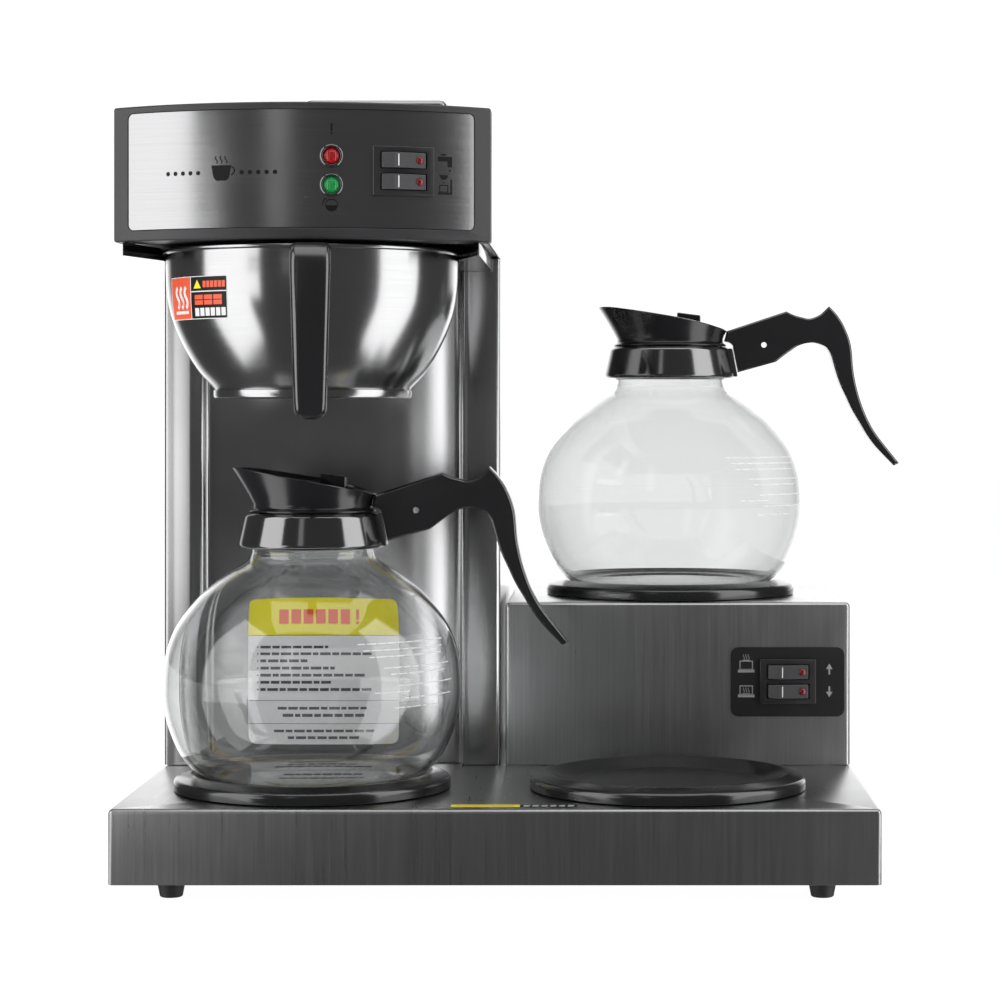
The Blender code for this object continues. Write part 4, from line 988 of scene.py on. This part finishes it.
def make_funnel():
    """The spun bowl: its foot, its wall and its rolled lip."""
    outer = [(5.5, 262.3), (6.2, 262.0), (52.6, 262.0), (53.4, 262.4), (53.8, 263.2), (53.8, 266.2)]
    outer += [(53.2, 266.9), *FUNNEL_WALL]
    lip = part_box("funnel_bowl")[1].z / MM - 1.8
    rim = [(79.4, -1.2), (79.5, -0.4), (80.0, 0.0), (81.1, 0.0), (81.5, 0.4), (81.6, 0.9), (81.5, 1.4)]
    rim += [(81.1, 1.75), (80.4, 1.8), (78.6, 1.8), (78.2, 1.4)]
    inner = [(r, z) for r, z in beside(FUNNEL_WALL, 1.2)[::-1] if z > 268.4]
    inner += [(52.0, 266.8), (52.0, 263.8), (51.4, 263.4), (6.2, 263.4), (5.6, 263.0)]
    profile = outer + [(r, lip + z) for r, z in rim] + inner
    mesh = lathe(profile, Vector((FUNNEL_X, WARMER_Y, 0)), steps=160)
    fine("funnel_bowl", mesh, FUNNEL, "polished_stainless")


def make_funnel_handle():
    """The moulded handle: broad at the top, narrower at the tip."""
    outline = [
        (79.9, 334, 1), (82.7, 341.5, 1), (90.4, 341.5, 1), (96.2, 339.2), (100.3, 334), (102.6, 325),
        (103.4, 311), (102.9, 296), (100.8, 278), (98, 264), (95.3, 255.5), (91, 250.6), (87.2, 252.8),
        (86.6, 259), (88.4, 272), (90.6, 285), (91.9, 298), (91.0, 309), (88.2, 315), (85, 317.5),
        (79.9, 318.5, 1),
    ]
    mesh = slab(flowing(outline, 5, closed=True), 21.6, LYING, 4.0)
    for vertex in mesh.vertices:
        drop = (341 * MM - vertex.co.z) / (91 * MM)
        end = max(0.0, 255.5 - vertex.co.z / MM) / 5.6
        vertex.co.y *= (1 - 0.24 * drop) * math.sqrt(1 - end * end)
    turned = Matrix.Rotation(FUNNEL_TURN - math.pi / 2, 4, "Z")
    mesh.transform(Matrix.Translation((FUNNEL_X, WARMER_Y, 0)) @ turned)
    fine("funnel_handle", mesh, HANDLE, "black_plastic")


def make_rack():
    """The wire rack under the filter: a ring and a grid of wires."""
    place = Vector((FUNNEL_X, WARMER_Y, 265.3 * MM))
    meshes = [wire([place + p * MM for p in ring_points(48, 0, 96)], 1.2 * MM, closed=True)]
    for i in range(-4, 5):
        x = i * 9.6
        half = math.sqrt(47.5**2 - x**2)
        meshes.append(wire([place + Vector((x, y, 0)) * MM for y in (-half, 0, half)], 0.9 * MM))
    fine("filter_rack", joined(*meshes), BRIGHT, "polished_stainless")


def make_funnel_sticker():
    """A heat notice on the left of the funnel: an orange end with steam, and bars on black."""
    wide, high, low = 62.0, 22.4, 303.4
    far, near = 71.8, 37.2  # how far its ends are to the left of the funnel's axis

    def surface(u, v, lift):
        radius = read_off(FUNNEL_WALL, low + v, 1) + lift + 0.03
        turn = -math.asin(min(far + (near - far) * u / wide, 0.992 * radius) / radius)
        flat = Vector((radius * math.sin(turn), -radius * math.cos(turn), low + v)) * MM
        return Vector((FUNNEL_X, WARMER_Y, 0)) + flat

    def stick(name, shapes, finish, lift):
        print_on(name, shapes, surface, finish, lift, "funnel", 1.5)

    def ends(x0, y0, x1, y1, corner):
        """Strips along the lower and the upper edge, each with its right corner rounded."""
        lower = [(x0, y0), (x1, y0, corner), (x1, 2.8), (x0, 2.8)]
        upper = [(x0, 19.6), (x1, 19.6), (x1, y1, corner), (x0, y1)]
        return [rounded([(*p[:2], *(p[2:] or (0.01,))) for p in strip]) for strip in (lower, upper)]

    edge = blocks(6, 0, 2.8, wide, 5.6, up=2.8) + ends(0, 0, wide, high, 2.8)
    stick("heat_notice_edge", edge, WHITE, 0.02)
    black = blocks(4, 24.0, 2.8, 61.6, 5.2, up=2.4) + ends(24.0, 0.4, 61.6, 22.0, 2.4)
    black += [rect(24.0, 12.4, 61.6, 14.1), rect(24.0, 14.7, 61.6, 17.2), rect(24.0, 17.2, 61.6, 19.6)]
    stick("heat_notice_black", black, DARK, 0.07)
    stick("heat_notice_orange", blocks(6, 0.5, 0.4, 23.2, 4.0, up=3.6), ORANGE, 0.07)
    signs = [steam(8.0 + 5.0 * i, 6.0, 17.0, 2.2, 1.6) for i in range(3)]
    signs += [rect(5.0, 3.0, 20.6, 4.6), *blocks(6, 28.0, 1.6, 32.4, 5.8, 5.6)]
    stick("heat_notice_signs", signs, WHITE, 0.12)
    bars = blocks(3, 28.0, 7.4, 36.8, 12.6, 10.0) + blocks(6, 37.0, 16.4, 40.2, 19.8, 4.0)
    stick("heat_notice_bars", bars, ORANGE, 0.12)
    stick("heat_notice_sign", [[(27.0, 16.0), (35.0, 16.0), (31.0, 20.6)]], YELLOW, 0.12)


# ---------------------------------------------------------------- decanters


GLOBE = [(50.0, 0.0), (57.5, 1.5), (65.2, 7.0), (72.2, 16.0), (77.8, 29.5), (80.6, 41.5), (81.1, 52)]
GLOBE += [(79.5, 68.5), (73.6, 84.6), (62.0, 99.8), (53.0, 107.8), (44.5, 114.0), (38.2, 118.0)]
GLOBE = flowing([*GLOBE, (34.6, 120.8), (33.1, 124.5)], 6)  # outside of the glass, in mm from its foot


def make_decanter(name):
    """A glass globe, a band, a collar and a spout top over its neck, a lid tab and a drop handle.
    Sizes are from the bottom of the glass; the spout points to -X."""
    place = middle(name + "_glass")
    place.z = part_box(name + "_glass")[0].z
    outer = [(0.5, 1.3), (20.0, 1.3), (40.0, 1.0), (47.0, 0.3), *GLOBE]
    outer += [(33.0, 135.0), (33.0, 145.4), (32.6, 146.0), (31.2, 146.0), (30.8, 145.4)]
    wall = beside(GLOBE[6:], 2.2)[::-1]
    inner = [(30.8, 135.0), *wall, (48.0, 3.0), (40.0, 3.2), (20.0, 3.5), (0.5, 3.5)]
    fine(name + "_glass", lathe(outer + inner, place, steps=160), GLASS, "decanter_glass")

    make_collar(name, place)
    make_spout_top(name, place)
    make_lid_tab(name, place)
    make_handle(name, place)
    make_level_marks(name, place)


def make_collar(name, place):
    """The band of the neck, with a bracket for the handle."""
    profile = [
        (34.8, 127.4, 0.3), (35.8, 126.6, 0.4), (38.6, 126.6, 1.2), (40.1, 128.4, 1.0),
        (36.7, 144.2, 0.8), (34.8, 145.7, 0.4), (33.5, 145.9, 0.2), (33.5, 137.0, 0.2),
        (34.8, 137.0, 0.2),
    ]
    outline = rounded([(35.3, 127.8), (41.1, 127.8, 0.9), (37.8, 145.0, 0.9), (35.3, 145.0)], 0.4)
    bracket = slab(outline, 16.0, Matrix.Translation(place) @ LYING, 0.35)
    mesh = joined(lathe(rounded(profile), place), bracket)
    fine(name + "_collar", mesh, GLOSS, "black_plastic")


def make_spout_top(name, place):
    """Round below, with a bowed, slanted rim above that draws out to a lip on the spout's side."""
    back, tip = 34.6, 43.7
    slope = [(-44, 170.4), (-37, 170.0), (-26, 168.3), (-8, 165.3), (3, 163.4), (18.4, 160.3)]
    slope = flowing([*slope, (36, 155.8)])
    steps = 144

    def rim(wall, drop):
        points = []
        for turn in full_turn(steps):
            lip = ((1 - math.cos(turn)) / 2) ** 2.2
            radius = back + (tip - back) * lip - wall
            across = radius * (1 - 0.12 * lip)
            x = radius * math.cos(turn)
            points.append(Vector((x, across * math.sin(turn), read_off(slope, x, 0) - drop)))
        return points

    def between(one, two, share, pinch=0.0):
        made = [a.lerp(b, share) for a, b in zip(one, two)]
        return [Vector((p.x * (1 - pinch), p.y * (1 - pinch), p.z)) for p in made]

    def flat(radius, height):
        return ring_points(radius, height, steps)

    neck, outer_rim = flat(32.3, 150.6), rim(0.0, 0.6)
    cup, inner_rim = flat(29.4, 151.8), rim(2.0, 0.4)
    loops = [
        flat(6.4, 148), flat(28.3, 148), flat(28.3, 139.2), flat(28.6, 139), flat(30.0, 139),
        flat(30.3, 139.3), flat(30.3, 146.3), flat(34.0, 146.3), flat(34.4, 146.5), flat(34.4, 147.0),
        flat(34.0, 147.5), flat(33.2, 147.9), flat(32.6, 148.4), flat(32.3, 149.2), neck,
        *[between(neck, outer_rim, s, 0.01 * math.sin(math.pi * s)) for s in (0.25, 0.5, 0.75)],
        outer_rim, rim(0.25, 0.15), rim(0.8, 0.0), rim(1.5, 0.05), inner_rim,
        *[between(inner_rim, cup, share) for share in (0.3, 0.6, 0.85)],
        cup, flat(28.4, 150.8), flat(20, 150.5), flat(7.4, 150.3), flat(6.6, 150.0),
    ]
    bm = bmesh.new()
    loft(bm, [[p * MM for p in loop] for loop in loops], True)
    mesh = to_mesh(bm, Matrix.Translation(place))
    fine(name + "_spout_top", mesh, SPOUT, "black_plastic")


def make_lid_tab(name, place):
    """A bridge across the back of the spout top, with the tab that its flap hangs from."""
    stand = Matrix.Translation(place) @ LYING
    tab = [(4.2, 156.0), (18.4, 156.0), (18.4, 165.2), (4.2, 167.0)]
    web = [(-10.0, 157.6), (30.8, 151.8), (32.0, 156.0), (17.2, 160.6), (-10.0, 164.0)]
    parts = slab(rounded(tab, 0.9), 15.0, stand, 0.8), slab(rounded(web, 0.6), 9.0, stand, 0.6)
    piece(name + "_lid_tab", joined(*parts), SPOUT, name, "black_plastic")


def make_handle(name, place):
    """The drop handle, with a bore through its root."""
    grip = [
        (34.6, 155.6, 1), (70.8, 167.6, 1), (75.0, 165.5), (80.2, 164.0), (85.1, 163.2), (91.2, 165.6),
        (96.8, 170.7, 1), (101.8, 165.2), (106.2, 158.0), (110.1, 146.9), (111.7, 131.2), (114.2, 119.0),
        (117.9, 107.7), (122.2, 98.4), (127.3, 90.5), (139.6, 75.1, 1), (136.4, 73.6, 1), (126.2, 84.2),
        (120.4, 91.6), (115.4, 99.9), (110.9, 107.4), (107, 115.6), (103.4, 123.4), (100.7, 131.2),
        (98, 140.6), (95.8, 144.8), (92.9, 146.9), (86.6, 148.5), (79, 147), (72.0, 142.6),
        (64.4, 136.8, 1), (41.4, 130.4, 1), (38.1, 146.8, 1), (36.4, 148.4, 1), (32.9, 149.4, 1),
    ]
    mesh = slab(flowing(grip, 4, closed=True), 17.0, Matrix.Translation(place) @ LYING, 1.5)
    bore = [(0.05, -12), (1.7, -12), (1.7, 12), (0.05, 12)]
    root = place + Vector((57, 0, 147.1)) * MM
    mesh = drilled(mesh, lathe(bore, root, False, LYING, 32))
    # The blade thins towards its tip
    for vertex in mesh.vertices:
        drop = max(0.0, (150 * MM - (vertex.co.z - place.z)) / (75 * MM))
        outwards = max(0.0, (vertex.co.x - place.x) / MM - 90) / 50
        vertex.co.y = place.y + (vertex.co.y - place.y) * (1 - 0.35 * min(drop, outwards))
    fine(name + "_handle", mesh, HANDLE, "black_plastic")


def make_level_marks(name, place):
    """Faint white rows on the right of the globe, along its widest ring."""
    start_turn, ring = math.radians(24), 81.0
    def surface(u, v, lift):
        radius = read_off(GLOBE, v, 1) + lift
        turn = start_turn + u / ring
        return place + Vector((radius * math.sin(turn), -radius * math.cos(turn), v)) * MM

    rows = [(79.0, 0.0, 66), (75.6, 3.0, 64), (72.2, 6.0, 62), (66.4, 14.0, 66), (63.0, 18.0, 60)]
    rows += [(57.0, 22.0, 68), (53.6, 8.0, 30), (50.2, 26.0, 66), (45.4, 20.0, 52)]
    shapes = []
    for height, start, end in rows:
        shapes += text_bars(start, end, height, (1.0,), 0.6)
    print_on(name + "_marks", shapes, surface, WHITE, 0.02, name, 2.5, 0.03)


# ---------------------------------------------------------------- studio


def make_camera():
    data = bpy.data.cameras.new("camera")
    data.sensor_width = 36
    data.lens = 96.95
    data.shift_x = -0.112
    data.shift_y = -0.082
    camera = bpy.data.objects.new("camera", data)
    camera.location = (43.95 * MM, -1549.4 * MM, 251.3 * MM)
    camera.rotation_euler = (math.radians(90), 0, 0)
    bpy.context.scene.collection.objects.link(camera)
    bpy.context.scene.camera = camera


def panel_light(name, place, aim, wide, high, radiance):
    """A rectangular light that looks along aim."""
    data = bpy.data.lights.new(name, "AREA")
    data.shape = "RECTANGLE"
    data.size, data.size_y = wide, high
    data.energy = radiance * math.pi * wide * high
    light = bpy.data.objects.new(name, data)
    light.location = place
    light.rotation_euler = aim.to_track_quat("-Z", "Y").to_euler()
    bpy.context.scene.collection.objects.link(light)
    return light


def softbox(name, start, end, low, high, radiance):
    """An upright light between two points in plan and two heights, which looks to the left of the
    line from start to end."""
    start, end = Vector((*start, low)), Vector((*end, low))
    run = end - start
    place = (start + end) / 2 + Vector((0, 0, (high - low) / 2))
    return panel_light(name, place, Vector((-run.y, run.x, 0)), run.length, high - low, radiance)


def link_to(lights, state, chosen):
    """Keeps lights off the chosen objects (EXCLUDE), or on them alone (INCLUDE)."""
    group = bpy.data.collections.new("lit_objects")
    for made in chosen:
        group.objects.link(made)
    for entry in group.collection_objects:
        entry.light_linking.link_state = state
    for light in lights:
        light.light_linking.receiver_collection = group


def wearing(finish):
    """The mesh objects of that finish."""
    meshes = [made for made in bpy.data.objects if made.type == "MESH"]
    return [made for made in meshes if made.data.materials and made.data.materials[0] == finish]


def make_lights():
    """Softboxes round the machine. The glass of the rear decanter is kept out of the bright ones,
    and one strip lights the steel of the column alone."""
    bright = [
        softbox("left_softbox", (-1.16, -0.2), (-0.93, -0.93), -0.8, 1.5, 2.4),
        softbox("low_left_softbox", (-0.93, -0.93), (-0.78, -1.05), 0.05, 0.38, 2.6),
        softbox("right_softbox", (0.78, -0.64), (0.87, -0.02), -0.8, 1.5, 2.5),
    ]
    softbox("left_strip", (-0.55, -1.5), (-0.36, -1.56), 0.42, 1.4, 0.6)
    strip = softbox("column_strip", (0.32, -1.36), (0.72, -1.16), -0.6, 0.5, 5.0)
    bright.append(panel_light("top_softbox", (0, -0.3, 1.7), Vector((0, 0, -1)), 1.6, 1.6, 1.5))
    link_to(bright, "EXCLUDE", [made for made in wearing(GLASS) if made.name.startswith("rear")])
    link_to([strip], "INCLUDE", wearing(COLUMN))


def make_world():
    """A room that is bright behind the machine and dark in front of it, and plain white where the
    camera sees it."""
    world = bpy.data.worlds.new("studio")
    world.use_nodes = True
    nodes = Nodes(world.node_tree)
    rays = nodes.node("LightPath").outputs
    depth = nodes.parts(nodes.node("TexCoord").outputs["Generated"])["Y"]
    room = nodes.tree.nodes["Background"]
    nodes.feed(room.inputs["Color"], nodes.shades(depth, (0.054, 0.054, 0.054), (1, 1, 1), 0.76, 0.92))
    nodes.feed(room.inputs["Strength"], nodes.spread(rays["Is Transmission Ray"], 1.8, 1.0, 0.0, 1.0))
    seen = nodes.node("Background", {"Color": (1, 1, 1), "Strength": 1.05})
    shown = {0: rays["Is Camera Ray"], 1: room.outputs[0], 2: seen.outputs[0]}
    mixed = nodes.node("MixShader", shown).outputs[0]
    nodes.feed(nodes.tree.nodes["World Output"].inputs["Surface"], mixed)
    bpy.context.scene.world = world


def make_floor():
    bm = bmesh.new()
    bmesh.ops.create_grid(bm, x_segments=1, y_segments=1, size=9)
    floor = bpy.data.objects.new("floor", to_mesh(bm))
    finish = Finish("floor", roughness=0.9, emission_strength=0.97, specular_ior_level=0.0)
    cloud = finish.noise(finish.place, 3.0)
    finish.set("Base Color", finish.shades(cloud, (0.2, 0.2, 0.2), (0.21, 0.21, 0.21)))
    finish.set("Emission Color", (1.0, 1.0, 1.0))
    floor.data.materials.append(finish.material)
    floor.visible_glossy = False
    floor.visible_shadow = False
    bpy.context.scene.collection.objects.link(floor)


make_camera()
make_casings()
make_feet()
make_warmer_plates()
make_cover_screws()
make_services()
dress_inner_nodes()
make_control_plate()
make_panel_print()
make_lamps()
make_switches()
make_warmer_print()
make_column_label()
make_deck_sticker()
make_funnel()
make_funnel_handle()
make_rack()
make_funnel_sticker()
make_decanter("left_decanter")
make_decanter("rear_decanter")
make_lights()
make_world()
make_floor()
bpy.context.scene.view_settings.view_transform = "Standard"

bpy.context.view_layer.update()
